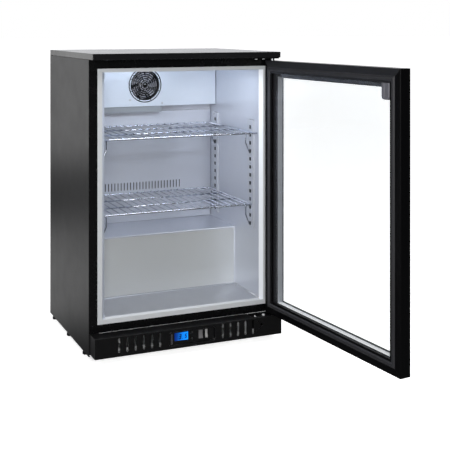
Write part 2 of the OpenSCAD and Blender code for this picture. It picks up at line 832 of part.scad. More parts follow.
// Mains lead with its gland, looped up behind the cabinet to a two-pin plug
module power_cord() {
  y = body_d + 11;
  plug_top = 98;
  plug_low = 62;
  color("#121213") {
    translate([cord_x, back_y - 6, cord_z]) rotate([-90, 0, 0]) cylinder(h = 16, r = 6);
    wire([cord_x, back_y + 4, cord_z], [cord_x, y + 3, cord_z], cord_r, 12);
    wire([cord_x, y, cord_z - 3.2], [cord_x, y, loop_z + 3], cord_r, 12);
    wire([cord_x + 3, y, loop_z], [loop_x - 3, y, loop_z], cord_r, 12);
    wire([loop_x, y, loop_z + 3], [loop_x, y, plug_top - 2], cord_r, 12);
    block([loop_x - 13, body_d + 1, plug_low], [loop_x + 13, body_d + 21, plug_top]);
    for (x = [loop_x - 7, loop_x + 7]) block([x - 1, y - 3, plug_low - 18], [x + 1, y + 3, plug_low + 1]);
  }
}

// ---- Hinges --------------------------------------------------------------------------------

// Plate under the cap that carries the upper pin
module hinge_bracket_upper() {
  z = cap_z - bracket_t - 0.1;
  color("#8d9095") difference() {
    block([bracket_x0 + 2, 3, z], [bracket_x1 + 1, 36, z + bracket_t]);
    translate([pivot_x, pivot_y, z - eps]) cylinder(h = bracket_t + 2 * eps, r = pin_r + pin_fit);
    for (x = upper_screw_xs) translate([x, pivot_y, z - eps]) cylinder(h = bracket_t + 2 * eps, r = 2.2);
  }
}

// Angle bracket let into the ledge of the grille, bolted to the base
module hinge_bracket_lower() {
  z = grille_z1;
  color("#8d9095") difference() {
    union() {
      block([bracket_x0, 2, z - bracket_t], [bracket_x1, 36, z]);
      block([bracket_x0, 36 - bracket_t, 30], [bracket_x1, 36, z]);
    }
    translate([0, 0, z - bracket_t - eps]) {
      translate([pivot_x, pivot_y, 0]) cylinder(h = bracket_t + 2 * eps, r = pin_r + pin_fit);
      translate(hinge_bolt) cylinder(h = bracket_t + 2 * eps, r = 2.6);
      translate(spring_hook) cylinder(h = bracket_t + 2 * eps, r = 3.4);
    }
  }
}

// Upper pan-head screws and the lower hexagon bolt
module hinge_screws() {
  color("#c9ccd0") {
    for (x = upper_screw_xs) translate([x, pivot_y, cap_z - bracket_t - 2.4]) {
      cylinder(h = 2.2, r = 4.2);
      cylinder(h = 5, r = 2);
    }
    translate([hinge_bolt.x, hinge_bolt.y, grille_z1 + 0.05]) {
      cylinder(h = 3.2, r = 4.6, $fn = 6);
      translate([0, 0, -9]) cylinder(h = 10, r = 2.4);
    }
  }
}

// Upper pin with the washer that spaces the door from its bracket
module hinge_pin_upper() {
  z = cap_z - bracket_t - 0.1;
  color("#b6babf") translate([pivot_x, pivot_y, 0]) {
    translate([0, 0, z - 30]) cylinder(h = 33, r = pin_r);
    translate([0, 0, z - 3.2]) cylinder(h = 3, r = pin_r + 2.5);
  }
}

// Torsion spring round the lower pin; its long arm rises through the bracket and hooks forward
module closer_spring() {
  turns = 4;
  wire_d = 2;
  coil_r = 8;
  coil_h = 14;
  top = grille_z1 - 5;
  hook_x = spring_hook.x + 0.4;
  hook_z = grille_z1 + 2.2;
  color("#e3e5e8") {
    translate([pivot_x, pivot_y, top - coil_h])
      linear_extrude(coil_h, twist = -360 * turns, slices = 12 * turns, segments = 6)
        translate([coil_r, 0]) circle(wire_d / 2, $fn = 6);
    wire([pivot_x - 1, pivot_y + coil_r, top - 1], [spring_hook.x, spring_hook.y, top - 1], wire_d / 2);
    wire([hook_x, spring_hook.y, top - 1.6], [hook_x, spring_hook.y, hook_z + 0.8], wire_d / 2);
    wire([hook_x, spring_hook.y + 0.8, hook_z], [hook_x, -3, hook_z], wire_d / 2);
  }
}

// Keeper for the lock bolt under the cap
module strike_plate() {
  z = cap_z - 1.6;
  color("#9fa3a8") difference() {
    block([lock_x - 16, 4, z], [lock_x + 16, 22, z + 1.5]);
    translate([lock_x, lock_y, z - eps]) cylinder(h = 3, r = bolt_r + 0.6);
  }
}

// ---- Door, drawn closed and then turned ----------------------------------------------------

// Cross-section of a frame member: u runs in from the door's edge, v from the outer to the inner face
module member_outline(grip) {
  slot_v1 = glass_y + 2 * glass_t + glass_gap + gap;
  slot_u = member_w - pane_bite - gap;
  inner_v = wall_t + (grip ? 9 : 0);
  difference() {
    polygon([
      [0, 0], [member_w, 0], [member_w, glass_y - gap], [slot_u, glass_y - gap], [slot_u, slot_v1],
      [member_w, slot_v1], [member_w, door_t], [groove_u + groove_w, door_t],
      [groove_u + groove_w, door_t - groove_d], [groove_u, door_t - groove_d], [groove_u, door_t],
      [0, door_t]
    ]);
    translate([wall_t, inner_v]) square([chamber_w, chamber_d - inner_v + wall_t]);
    if (grip) translate([7, -1]) square([14, 8]);
  }
}

// A frame member lying along +X with its outer edge at Z = 0, mitred at both ends
module member(length, grip = false) {
  intersection() {
    rotate([90, 0, 90]) linear_extrude(length) mirror([1, 0]) rotate([0, 0, 90]) member_outline(grip);
    upright(-1, door_t + 2)
      polygon([[0, 0], [length, 0], [length - member_w, member_w], [member_w, member_w]]);
  }
}

// Outline of the whole door seen from above, with the relief at its hinge corner
module door_envelope() {
  c = hinge_chamfer;
  b = 1.5;
  translate([0, 0, door_z0]) linear_extrude(door_h) polygon([
    [door_x0 + b, 0], [door_x1 - b, 0], [door_x1, b], [door_x1, door_t - c], [door_x1 - c, door_t],
    [door_x0 + b, door_t], [door_x0, door_t - b], [door_x0, b]
  ]);
}

module pin_hole(z) {
  translate([pivot_x, pivot_y, z]) cylinder(h = 2 * wall_t, r = pin_r + 0.6);
}

module door_rail_bottom() {
  color("#171718") on_door() difference() {
    intersection() {
      translate([door_x0, 0, door_z0]) member(door_w);
      door_envelope();
    }
    pin_hole(door_z0 - wall_t / 2);
  }
}

module door_rail_top() {
  color("#171718") on_door() difference() {
    intersection() {
      translate([door_x0, 0, door_z1]) mirror([0, 0, 1]) member(door_w);
      door_envelope();
    }
    pin_hole(door_z1 - 1.5 * wall_t);
    translate([lock_x, lock_y, door_z1 - 1.5 * wall_t]) cylinder(h = 2 * wall_t, r = bolt_r + 0.3);
    translate([lock_x, -1, lock_z]) rotate([-90, 0, 0]) cylinder(h = wall_t + 2, r = 8.3);
  }
}

module door_stile_hinge() {
  color("#171718") on_door() intersection() {
    translate([door_x1, 0, door_z0]) rotate([0, -90, 0]) member(door_h);
    door_envelope();
  }
}

module door_stile_free() {
  color("#171718") on_door() intersection() {
    translate([door_x0, 0, door_z0]) mirror([1, 0, 0]) rotate([0, -90, 0]) member(door_h, true);
    door_envelope();
  }
}

// Angle piece that joins two members inside their chambers
module corner_key() {
  a = wall_t + gap;
  b = wall_t + chamber_w - gap;
  upright(wall_t + 9 + gap, chamber_d - 9 - 2 * gap) polygon([
    [a, a], [key_leg, a], [key_leg, b], [b, b], [b, key_leg], [a, key_leg]
  ]);
}

module door_corner_keys() {
  color("#6f7378") on_door() difference() {
    for (free = [0, 1], up = [0, 1])
      translate([free ? door_x0 : door_x1, 0, up ? door_z1 : door_z0])
        mirror([free ? 0 : 1, 0, 0]) mirror([0, 0, up]) corner_key();
    translate([pivot_x, pivot_y, door_z0 - 1]) cylinder(h = 60, r = pin_r + 0.02);
    translate([pivot_x, pivot_y, door_z1 - 60]) cylinder(h = 61, r = pin_r + pin_fit);
  }
}

// Magnetic seal: flat bellows with a dart that sits in the groove of the frame
module gasket_ring(u, w, y0, y1) {
  difference() {
    block([door_x0 + u, y0, door_z0 + u], [door_x1 - u, y1, door_z1 - u]);
    block([door_x0 + u + w, y0 - eps, door_z0 + u + w], [door_x1 - u - w, y1 + eps, door_z1 - u - w]);
  }
}

module door_gasket() {
  lip = 0.1;
  color("#2a2a2d") on_door() union() {
    gasket_ring(gasket_u, gasket_w, door_t + lip, door_t + gasket_h);
    gasket_ring(groove_u + 0.3, groove_w - 0.6, door_t - groove_d + 0.4, door_t + lip + eps);
  }
}

module pane(y) {
  u = member_w - pane_bite;
  block([door_x0 + u, y, door_z0 + u], [door_x1 - u, y + glass_t, door_z1 - u]);
}

module glass_panes() {
  color("#dfeaf0", 0.35) on_door() {
    pane(glass_y);
    pane(glass_y + glass_t + glass_gap);
  }
}

// Frame between the panes whose opening is smaller than the visible glass by the given amount
module spacer_ring(more, depth) {
  y0 = glass_y + glass_t + 0.05;
  low = [door_x0 + member_w + spacer_show_free + more, door_z0 + member_w + spacer_show_bottom + more];
  high = [door_x1 - member_w - spacer_show_hinge - more, door_z1 - member_w - spacer_show_top - more];
  difference() {
    block([door_x0 + spacer_u, y0, door_z0 + spacer_u],
          [door_x1 - spacer_u, y0 + depth, door_z1 - spacer_u]);
    block([low.x, y0 - eps, low.y], [high.x, y0 + depth + eps, high.y]);
  }
}

// Spacer bar that holds the two panes apart, with a lip of sealant along the outer pane. It shows
// most beside the hinge stile and least above the bottom rail.
module glass_spacer() {
  color("#b9bcc0") on_door() union() {
    spacer_ring(0, glass_gap - 0.1);
    spacer_ring(sealant_lip, 0.6);
  }
}

// Lower pin, fixed in the door and turning in the bracket
module hinge_pin_lower() {
  color("#b6babf") on_door() translate([pivot_x, pivot_y, grille_z1 - 19]) {
    cylinder(h = door_z0 + 40 - grille_z1 + 19, r = pin_r);
    translate([0, 0, 19.4]) cylinder(h = 3, r = pin_r + 2.5);
  }
}

// Lock housing in the top free corner of the glazed opening
module lock_case() {
  h = 43;
  w = 32;
  d = 7.6;
  x0 = door_x0 + member_w + gap;
  z1 = door_z1 - member_w - gap;
  y0 = glass_y + 2 * glass_t + glass_gap + 0.3;
  color("#9b9ca6") on_door() difference() {
    translate([x0, y0, z1 - h]) linear_extrude(h) polygon([
      [0, 0], [w, 0], [w, 0.55 * d], [w - 4, d - 0.6], [18, d], [16, d - 1.4], [14, d], [0, d]
    ]);
    translate([x0 - eps, y0 - eps, z1 - h - eps]) cube([1.5, 12, 3]);
  }
}

module lock_cylinder() {
  color("#c6c9cd") on_door() translate([lock_x, -1.2, lock_z]) rotate([-90, 0, 0]) difference() {
    union() {
      cylinder(h = 9, r = 8);
      cylinder(h = 1, r = 9.5);
    }
    translate([-0.8, -4, -eps]) cube([1.6, 8, 4]);
  }
}

module lock_bolt() {
  color("#c6c9cd") on_door() translate([lock_x, lock_y, door_z1 - 22]) {
    cylinder(h = 21.4, r = bolt_r);
    translate([-bolt_r - 1.5, -bolt_r + 0.4, 0]) cube([2 * bolt_r + 3, 2 * bolt_r - 0.8, 5]);
  }
}

// ---- Parts ---------------------------------------------------------------------------------

placed() side_panel_left();
placed() side_panel_right();
placed() top_panel();
placed() back_panel();
placed() base_pan();
placed() compartment_partition();
placed() front_frame();
placed() insulation_foam();
placed() inner_liner();
placed() breaker_trim();
placed() feet();
placed() kick_grille();
placed() panel_screws();
placed() controller_bezel();
placed() controller_housing();
placed() lcd_lens();
placed() button_up();
placed() button_down();
placed() power_switch();
placed() light_switch();
placed() evaporator_cover();
placed() drip_tray();
placed() fan_guard();
placed() evap_fan_frame();
placed() evap_fan_rotor();
placed() evaporator_coil();
placed() rear_duct_panel();
placed() led_light();
placed() temperature_probe();
placed() shelf_pilasters();
placed() upper_shelf();
placed() lower_shelf();
placed() shelf_clips();
placed() compressor();
placed() compressor_grommets();
placed() condenser_coil();
placed() fan_shroud();
placed() condenser_fan();
placed() condenser_motor();
placed() refrigerant_lines();
placed() rear_grille();
placed() power_cord();
placed() hinge_bracket_upper();
placed() hinge_bracket_lower();
placed() hinge_screws();
placed() hinge_pin_upper();
placed() closer_spring();
placed() strike_plate();
placed() door_stile_hinge();
placed() door_stile_free();
placed() door_rail_top();
placed() door_rail_bottom();
placed() door_corner_keys();
placed() door_gasket();
placed() glass_panes();
placed() glass_spacer();
placed() hinge_pin_lower();
placed() lock_case();
placed() lock_cylinder();
placed() lock_bolt();
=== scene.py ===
import json
import math

import bmesh
import bpy
from mathutils import Matrix, Vector


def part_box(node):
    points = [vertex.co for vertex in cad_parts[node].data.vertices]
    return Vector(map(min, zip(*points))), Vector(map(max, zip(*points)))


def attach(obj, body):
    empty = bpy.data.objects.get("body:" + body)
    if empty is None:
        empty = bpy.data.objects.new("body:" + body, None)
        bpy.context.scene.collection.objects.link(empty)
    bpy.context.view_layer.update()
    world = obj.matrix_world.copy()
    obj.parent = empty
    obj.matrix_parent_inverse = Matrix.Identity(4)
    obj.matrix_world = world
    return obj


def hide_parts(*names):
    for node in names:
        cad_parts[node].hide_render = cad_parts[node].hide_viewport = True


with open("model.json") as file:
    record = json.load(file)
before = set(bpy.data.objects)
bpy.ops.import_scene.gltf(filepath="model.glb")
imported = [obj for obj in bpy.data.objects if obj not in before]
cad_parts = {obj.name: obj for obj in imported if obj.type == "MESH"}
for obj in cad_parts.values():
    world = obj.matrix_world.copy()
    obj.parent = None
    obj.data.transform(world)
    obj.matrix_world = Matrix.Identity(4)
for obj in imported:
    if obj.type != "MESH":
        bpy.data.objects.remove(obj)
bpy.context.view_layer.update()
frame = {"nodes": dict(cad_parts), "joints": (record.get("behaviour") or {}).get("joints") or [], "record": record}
NODES = frame["nodes"]
JOINTS = {j["name"]: j for j in frame["joints"]}
MM = 0.001
FACING = 0.7            # a face looks along an axis when the cosine between them is larger


# ---- Places taken from the frame ----

HINGE = Vector(JOINTS["door_hinge"]["pos_m"])
DOOR_OPEN = -math.radians(JOINTS["door_hinge"]["range_deg"][0])
# Turns a point of the closed door to the rest pose, where the door stands open
DOOR = Matrix.Translation(HINGE) @ Matrix.Rotation(DOOR_OPEN, 4, "Z") @ Matrix.Translation(-HINGE)


def closed_box(node):
    """Corners of a door node with the door shut, where it lies square to the axes."""
    back = DOOR.inverted()
    points = [back @ v.co for v in NODES[node].data.vertices]
    low = Vector([min(p[i] for p in points) for i in range(3)])
    high = Vector([max(p[i] for p in points) for i in range(3)])
    return low, high


def levels(node, axis):
    """Distinct places of a node's corners along one axis, in order."""
    return sorted({round(v.co[axis], 5) for v in NODES[node].data.vertices})


def in_mm(*pairs):
    """Outline points given in millimetres, in metres."""
    return [(u * MM, v * MM) for u, v in pairs]


# ---- Mesh helpers ----

def in_scene(name, data):
    """New object that shows the data, linked to the scene."""
    obj = bpy.data.objects.new(name, data)
    bpy.context.scene.collection.objects.link(obj)
    return obj


def mesh_object(name, verts, faces, smooth=True):
    """Object from points and faces, with every face turned outwards."""
    mesh = bpy.data.meshes.new(name)
    mesh.from_pydata([tuple(v) for v in verts], [], faces)
    mesh.validate()
    mesh.update()
    made = bmesh.new()
    made.from_mesh(mesh)
    bmesh.ops.recalc_face_normals(made, faces=made.faces)
    made.to_mesh(mesh)
    made.free()
    for p in mesh.polygons:
        p.use_smooth = smooth
    return in_scene(name, mesh)


def join_meshes(name, objects):
    """One object from several, with their meshes side by side."""
    verts, faces, smooth = [], [], []
    for o in objects:
        base = len(verts)
        verts += [o.matrix_world @ v.co for v in o.data.vertices]
        faces += [[base + i for i in p.vertices] for p in o.data.polygons]
        smooth += [p.use_smooth for p in o.data.polygons]
        bpy.data.objects.remove(o)
    mesh = bpy.data.meshes.new(name)
    mesh.from_pydata([tuple(v) for v in verts], [], faces)
    mesh.update()
    for p, s in zip(mesh.polygons, smooth):
        p.use_smooth = s
    return in_scene(name, mesh)


def ring_faces(rings, sides, closed=False):
    """Faces over a row of point rings: closed into a loop, or with a cap at each end."""
    faces = []
    for i in range(rings if closed else rings - 1):
        j = (i + 1) % rings
        for k in range(sides):
            m = (k + 1) % sides
            faces.append([i * sides + k, i * sides + m, j * sides + m, j * sides + k])
    if not closed:
        faces.append(list(range(sides)))
        faces.append([(rings - 1) * sides + k for k in range(sides)])
    return faces


def rounded_path(points, radius, closed=False, steps=6):
    """The same path with each corner swapped for an arc."""
    points = [Vector(p) for p in points]
    count = len(points)
    out = []
    for i, p in enumerate(points):
        if not closed and i in (0, count - 1):
            out.append(p)
            continue
        a, b = points[i - 1] - p, points[(i + 1) % count] - p
        turn = a.angle(b)
        if turn > math.pi - 0.01:
            out.append(p)
            continue
        cut = min(radius / math.tan(turn / 2), 0.49 * a.length, 0.49 * b.length)
        start, end = p + a.normalized() * cut, p + b.normalized() * cut
        for k in range(steps + 1):
            t = k / steps
            out.append(start * (1 - t) ** 2 + p * 2 * t * (1 - t) + end * t ** 2)
    return out


def tube(name, points, radius, sides=12, closed=False):
    """A round rod along a path. Its rings widen in a bend, so that it keeps its thickness there."""
    points = [Vector(p) for p in points]
    count = len(points)
    verts = []
    normal = None
    for i, p in enumerate(points):
        before = points[(i - 1) % count] if closed or i else p
        after = points[(i + 1) % count] if closed or i < count - 1 else p
        along = (after - before).normalized()
        if normal is None:
            side = Vector((0, 0, 1)) if abs(along.z) < 0.9 else Vector((1, 0, 0))
            normal = along.cross(side).normalized()
        normal = (normal - along * normal.dot(along)).normalized()
        across = along.cross(normal)
        inward, outward = p - before, after - p
        stretch = 1.0
        if inward.length > 1e-9 and outward.length > 1e-9:
            stretch = 1 / max(math.cos(inward.angle(outward) / 2), 0.7)
        for k in range(sides):
            a = 2 * math.pi * k / sides
            verts.append(p + (normal * math.cos(a) + across * math.sin(a)) * radius * stretch ** 0.5)
    return mesh_object(name, verts, ring_faces(count, sides, closed))


def lathe(name, profile, place, steps=48):
    """Turns (radius, height) points about Z, then moves them by a matrix."""
    verts, faces, rows = [], [], []
    for r, h in profile:
        if r < 1e-7:
            rows.append([len(verts)])
            verts.append(place @ Vector((0, 0, h)))
        else:
            rows.append(list(range(len(verts), len(verts) + steps)))
            for k in range(steps):
                a = 2 * math.pi * k / steps
                verts.append(place @ Vector((r * math.cos(a), r * math.sin(a), h)))
    for low, high in zip(rows, rows[1:]):
        for k in range(steps):
            m = (k + 1) % steps
            if len(low) == 1:
                faces.append([low[0], high[m], high[k]])
            elif len(high) == 1:
                faces.append([low[k], low[m], high[0]])
            else:
                faces.append([low[k], low[m], high[m], high[k]])
    return mesh_object(name, verts, faces)


def frame_sweep(name, low, high, profile, place):
    """Carries a closed (inset, depth) outline round an upright rectangle, with mitred corners."""
    corners = [(low.x, low.z, 1, 1), (high.x, low.z, -1, 1),
               (high.x, high.z, -1, -1), (low.x, high.z, 1, -1)]
    verts = [place @ Vector((x + sx * inset, low.y + depth, z + sz * inset))
             for x, z, sx, sz in corners for inset, depth in profile]
    return mesh_object(name, verts, ring_faces(4, len(profile), True), smooth=False)


def bevel(obj, width, segments=2, angle=30):
    """Rounds the sharp edges of an object, once corners that touch are joined."""
    weld = obj.modifiers.new("weld", "WELD")
    weld.merge_threshold = 1e-5
    cut = obj.modifiers.new("edge", "BEVEL")
    cut.width = width
    cut.segments = segments
    cut.limit_method = "ANGLE"
    cut.angle_limit = math.radians(angle)
    cut.use_clamp_overlap = True
    return obj


def block(name, low, high):
    """A box between two corners."""
    low, high = Vector(low), Vector(high)
    verts = [(x, y, z) for x in (low.x, high.x) for y in (low.y, high.y) for z in (low.z, high.z)]
    faces = [[0, 1, 3, 2], [4, 6, 7, 5], [0, 4, 5, 1], [2, 3, 7, 6], [0, 2, 6, 4], [1, 5, 7, 3]]
    return mesh_object(name, verts, faces, smooth=False)


# ---- Materials ----

class Nodes:
    """Builds a node tree in few lines."""

    def __init__(self, owner, output="ShaderNodeOutputMaterial"):
        self.owner = owner
        owner.use_nodes = True
        self.tree = owner.node_tree
        self.tree.nodes.clear()
        self.output = self.add(output)

    def add(self, kind, **values):
        """New node; a value goes to the input of its name, or else to the node's own setting."""
        node = self.tree.nodes.new(kind)
        for key, value in values.items():
            if key in node.inputs:
                self.put(node.inputs[key], value)
            else:
                setattr(node, key, value)
        return node

    def put(self, socket, value):
        """Links an output to the socket, or sets a plain value."""
        if isinstance(value, bpy.types.NodeSocket):
            self.tree.links.new(value, socket)
        else:
            socket.default_value = value

    def pair(self, kind, first, second, **values):
        """Node of two unnamed inputs; gives its first output."""
        node = self.add(kind, **values)
        self.put(node.inputs[0], first)
        self.put(node.inputs[1], second)
        return node.outputs[0]

    def maths(self, operation, first, second):
        return self.pair("ShaderNodeMath", first, second, operation=operation)

    def blend(self, share, first, second):
        """Colour between two."""
        node = self.add("ShaderNodeMix", data_type="RGBA", Factor=share)
        self.put(node.inputs[6], first)
        self.put(node.inputs[7], second)
        return node.outputs[2]

    def mix(self, share, first, second):
        """Shader between two."""
        node = self.add("ShaderNodeMixShader", Fac=share)
        self.put(node.inputs[1], first)
        self.put(node.inputs[2], second)
        return node.outputs["Shader"]

    def ramp(self, value, low, high, start, end, kind="LINEAR"):
        """Goes from start to end while the value goes from low to high."""
        node = self.add("ShaderNodeMapRange", Value=value, interpolation_type=kind)
        for socket, level in (("From Min", low), ("From Max", high), ("To Min", start), ("To Max", end)):
            node.inputs[socket].default_value = level
        return node.outputs["Result"]

    def finish(self, shader):
        """Sends the shader to the output; gives the finished material or world."""
        self.put(self.output.inputs["Surface"], shader)
        return self.owner


def rgba(colour, gain=1.0):
    """The colour times the gain, opaque."""
    return tuple(min(1.0, c * gain) for c in colour[:3]) + (1.0,)


def box_mask(n, place, low, high):
    """1 inside a box of the part's frame and 0 outside it."""
    mid, half = (Vector(low) + Vector(high)) / 2, (Vector(high) - Vector(low)) / 2
    scale = Vector([1 / h for h in half])
    inside = n.add("ShaderNodeMapping", Vector=place, Location=-mid * scale, Scale=scale)
    size = n.add("ShaderNodeVectorMath", operation="ABSOLUTE", Vector=inside.outputs["Vector"])
    parts = n.add("ShaderNodeSeparateXYZ", Vector=size.outputs["Vector"]).outputs
    most = n.maths("MAXIMUM", n.maths("MAXIMUM", parts["X"], parts["Y"]), parts["Z"])
    return n.maths("LESS_THAN", most, 1.0)


def rim_wear_and_highlight(n, place, wear_and_sheen):
    """Patchy mask of an object's edges, for wear and a painted highlight: there the rounded normal turns away from
    the flat one.
    """
    rounded = n.add("ShaderNodeBevel", Radius=1.2 * MM, samples=4).outputs["Normal"]
    flat = n.add("ShaderNodeNewGeometry").outputs["Normal"]
    dot = n.add("ShaderNodeVectorMath", operation="DOT_PRODUCT")
    n.put(dot.inputs[0], rounded)
    n.put(dot.inputs[1], flat)
    patch = n.add("ShaderNodeTexNoise", Vector=place, Scale=60.0, Detail=6.0)
    rim = n.ramp(dot.outputs["Value"], 0.99, 0.80, 0.0, wear_and_sheen)
    return n.maths("MULTIPLY", rim, patch.outputs["Fac"])


def surface(name, colour, rough, metallic=0.0, variation=0.15, variation_scale=9.0, grain=(1, 1, 1),
            rough_spread=0.08, rough_scale=40.0, bump_scale=900.0, bump_height=0.02, wear_and_sheen=0.0,
            wear_and_sheen_colour=(0.5, 0.5, 0.5), edge=0.0, coat=0.0, specular=0.5, zones=()):
    """A finish with drifting colour and roughness, fine relief and, if asked, lighter edges that are part wear,
    part painted highlight.

    bump_height is in millimetres and edge, the radius of its rounded edges, in metres. Each zone is a box
    (low, high, colour) of the part's frame in which the colour changes."""
    n = Nodes(bpy.data.materials.new(name))
    place = n.add("ShaderNodeTexCoord").outputs["Object"]
    mapped = n.add("ShaderNodeMapping", Vector=place, Scale=grain).outputs["Vector"]
    drift = n.add("ShaderNodeTexNoise", Vector=mapped, Scale=variation_scale, Detail=5.0, Roughness=0.6)
    tone = n.blend(drift.outputs["Fac"], rgba(colour, 1 - variation), rgba(colour, 1 + variation))
    for low, high, zone_colour in zones:
        tone = n.blend(box_mask(n, place, low, high), tone, rgba(zone_colour))
    smudge = n.add("ShaderNodeTexNoise", Vector=mapped, Scale=rough_scale, Detail=6.0, Roughness=0.65)
    dull = n.ramp(smudge.outputs["Fac"], 0.3, 0.7,
                  max(rough - rough_spread, 0.02), min(rough + rough_spread, 1.0))
    fine = n.add("ShaderNodeTexNoise", Vector=mapped, Scale=bump_scale, Detail=3.0, Roughness=0.5)
    relief = n.add("ShaderNodeBump", Strength=1.0, Distance=bump_height * MM, Height=fine.outputs["Fac"])
    if edge:
        n.put(relief.inputs["Normal"], n.add("ShaderNodeBevel", Radius=edge, samples=4).outputs["Normal"])
    # Lighter rims: part wear, part painted highlight on the edges
    if wear_and_sheen:
        tone = n.blend(rim_wear_and_highlight(n, place, wear_and_sheen), tone, rgba(wear_and_sheen_colour))
    shader = n.add("ShaderNodeBsdfPrincipled", Roughness=dull, Metallic=metallic)
    for socket, value in (("Base Color", tone), ("Normal", relief.outputs["Normal"]), ("Coat Weight", coat),
                          ("Coat Roughness", 0.2), ("Specular IOR Level", specular)):
        n.put(shader.inputs[socket], value)
    return n.finish(shader.outputs["BSDF"])


def clear_glass(name):
    """Sheet glass that light passes straight through, with a faint tint and glints."""
    n = Nodes(bpy.data.materials.new(name))
    place = n.add("ShaderNodeTexCoord").outputs["Object"]
    cloud = n.add("ShaderNodeTexNoise", Vector=place, Scale=6.0, Detail=4.0).outputs["Fac"]
    tint = n.blend(cloud, (0.992, 0.997, 0.996, 1), (0.997, 0.999, 0.999, 1))
    through = n.add("ShaderNodeBsdfTransparent", Color=tint)
    wave = n.add("ShaderNodeBump", Strength=1.0, Distance=0.02 * MM, Height=cloud)
    glint = n.add("ShaderNodeBsdfGlossy", Roughness=n.ramp(cloud, 0, 1, 0.0, 0.05),
                  Normal=wave.outputs["Normal"])
    facing = n.add("ShaderNodeFresnel", IOR=1.45).outputs["Fac"]
    glint_share = n.maths("MULTIPLY", facing, 0.10)
    return n.finish(n.mix(glint_share, through.outputs["BSDF"], glint.outputs["BSDF"]))


def glowing(name, colour, strength, scale=300.0, depth=0.15, fade=None, dark=None):
    """A lit panel whose brightness drifts by the share in depth. With fade, a box, its colour runs from
    dark at the box's left side."""
    n = Nodes(bpy.data.materials.new(name))
    place = n.add("ShaderNodeTexCoord").outputs["Object"]
    grid = n.add("ShaderNodeTexNoise", Vector=place, Scale=scale, Detail=2.0).outputs["Fac"]
    relief = n.add("ShaderNodeBump", Strength=1.0, Distance=0.01 * MM, Height=grid)
    shader = n.add("ShaderNodeBsdfPrincipled", Roughness=0.18, Normal=relief.outputs["Normal"])
    lit = rgba(colour)
    if fade:
        across = n.add("ShaderNodeSeparateXYZ", Vector=place).outputs["X"]
        lit = n.blend(n.ramp(across, fade[0].x, fade[1].x, 0, 1, "SMOOTHSTEP"), rgba(dark), lit)
    n.put(shader.inputs["Base Color"], lit)
    n.put(shader.inputs["Emission Color"], lit)
    n.put(shader.inputs["Emission Strength"],
          n.ramp(grid, 0, 1, strength * (1 - depth), strength * (1 + depth)))
    return n.finish(shader.outputs["BSDF"])


# The lighter rims on these black finishes are part wear, part painted highlight on their edges
BLACK_PAINT = surface("black_powder_coat", (0.010, 0.0105, 0.012), 0.34, variation=0.06,
                      rough_spread=0.03, rough_scale=12.0, bump_scale=1400.0, bump_height=0.010,
                      specular=0.42, edge=1.6 * MM, wear_and_sheen=0.25, wear_and_sheen_colour=(0.12, 0.12, 0.13))
CAP_PAINT = surface("black_cap", (0.006, 0.006, 0.007), 0.2, variation=0.06, rough_spread=0.03,
                    rough_scale=12.0, bump_scale=1400.0, bump_height=0.006, specular=0.65,
                    edge=1.4 * MM, wear_and_sheen=0.2, wear_and_sheen_colour=(0.12, 0.12, 0.13))
BLACK_FRONT = surface("black_satin_front", (0.003, 0.003, 0.0033), 0.26, variation=0.25,
                      rough_spread=0.05, bump_scale=1500.0, bump_height=0.008, specular=0.25,
                      wear_and_sheen=0.15, wear_and_sheen_colour=(0.06, 0.06, 0.065))
GRILLE_PLASTIC = surface("grille_black", (0.004, 0.004, 0.0043), 0.36, variation=0.25,
                         bump_scale=2200.0, specular=0.3, edge=0.9 * MM, wear_and_sheen=0.35,
                         wear_and_sheen_colour=(0.10, 0.10, 0.105))
DOOR_PROFILE = surface("anodised_black", (0.0025, 0.0025, 0.003), 0.34, grain=(1, 1, 0.05), variation=0.2,
                       bump_scale=1200.0, bump_height=0.01, specular=0.1, wear_and_sheen=0.2,
                       wear_and_sheen_colour=(0.10, 0.10, 0.11))
# The door's anodised black, painted lighter on the top rail: a painted highlight where it catches light from above
TOP_RAIL_PAINTED_LIGHT = surface("anodised_black_painted_highlight", (0.018, 0.018, 0.021), 0.34, grain=(0.05, 1, 1), variation=0.2,
                   bump_scale=1200.0, bump_height=0.01, specular=0.3, wear_and_sheen=0.2,
                   wear_and_sheen_colour=(0.14, 0.14, 0.15))
GALVANISED = surface("galvanised_sheet", (0.46, 0.48, 0.5), 0.42, metallic=0.85, variation=0.28,
                     variation_scale=70.0, rough_spread=0.14, rough_scale=60.0, edge=0.6 * MM)
FOAM = surface("rigid_foam", (0.62, 0.48, 0.22), 0.9, variation=0.2, variation_scale=60.0,
               bump_scale=500.0, bump_height=0.6, specular=0.1)
DUCT_LOW, DUCT_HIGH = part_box("rear_duct_panel")
PILASTER_LOW, PILASTER_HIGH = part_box("shelf_pilasters")
LINER_LOW, LINER_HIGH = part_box("inner_liner")
STEP_Y = levels("inner_liner", 1)[-4]
STEP_Z = levels("inner_liner", 2)[-3]


def liner_painted_shade_and_light():
    """Boxes on the liner: painted shade behind the duct panel and the pilasters and on the floor, and a painted
    highlight on the step front.
    """
    # dark and dull are painted shade, pale is a painted highlight
    dark, dull, pale = (0.03, 0.032, 0.036), (0.40, 0.415, 0.455), (0.74, 0.765, 0.77)
    fold, channel, sheet = 5 * MM, 36 * MM, 1 * MM
    found = [((DUCT_LOW.x, DUCT_LOW.y + 2 * sheet, DUCT_LOW.z),
              (DUCT_HIGH.x, LINER_HIGH.y, DUCT_HIGH.z), dark),
             (LINER_LOW, (LINER_HIGH.x, STEP_Y, LINER_LOW.z + fold), dull),
             ((LINER_LOW.x + fold, STEP_Y - fold, LINER_LOW.z + fold),
              (LINER_HIGH.x - fold, STEP_Y + fold, STEP_Z - fold), pale)]
    for y0 in (PILASTER_LOW.y + sheet, PILASTER_HIGH.y - channel - sheet):
        for x0, x1 in ((LINER_LOW.x, PILASTER_LOW.x + sheet), (PILASTER_HIGH.x - sheet, LINER_HIGH.x)):
            found.append(((x0, y0, PILASTER_LOW.z), (x1, y0 + channel, PILASTER_HIGH.z), dark))
    return found


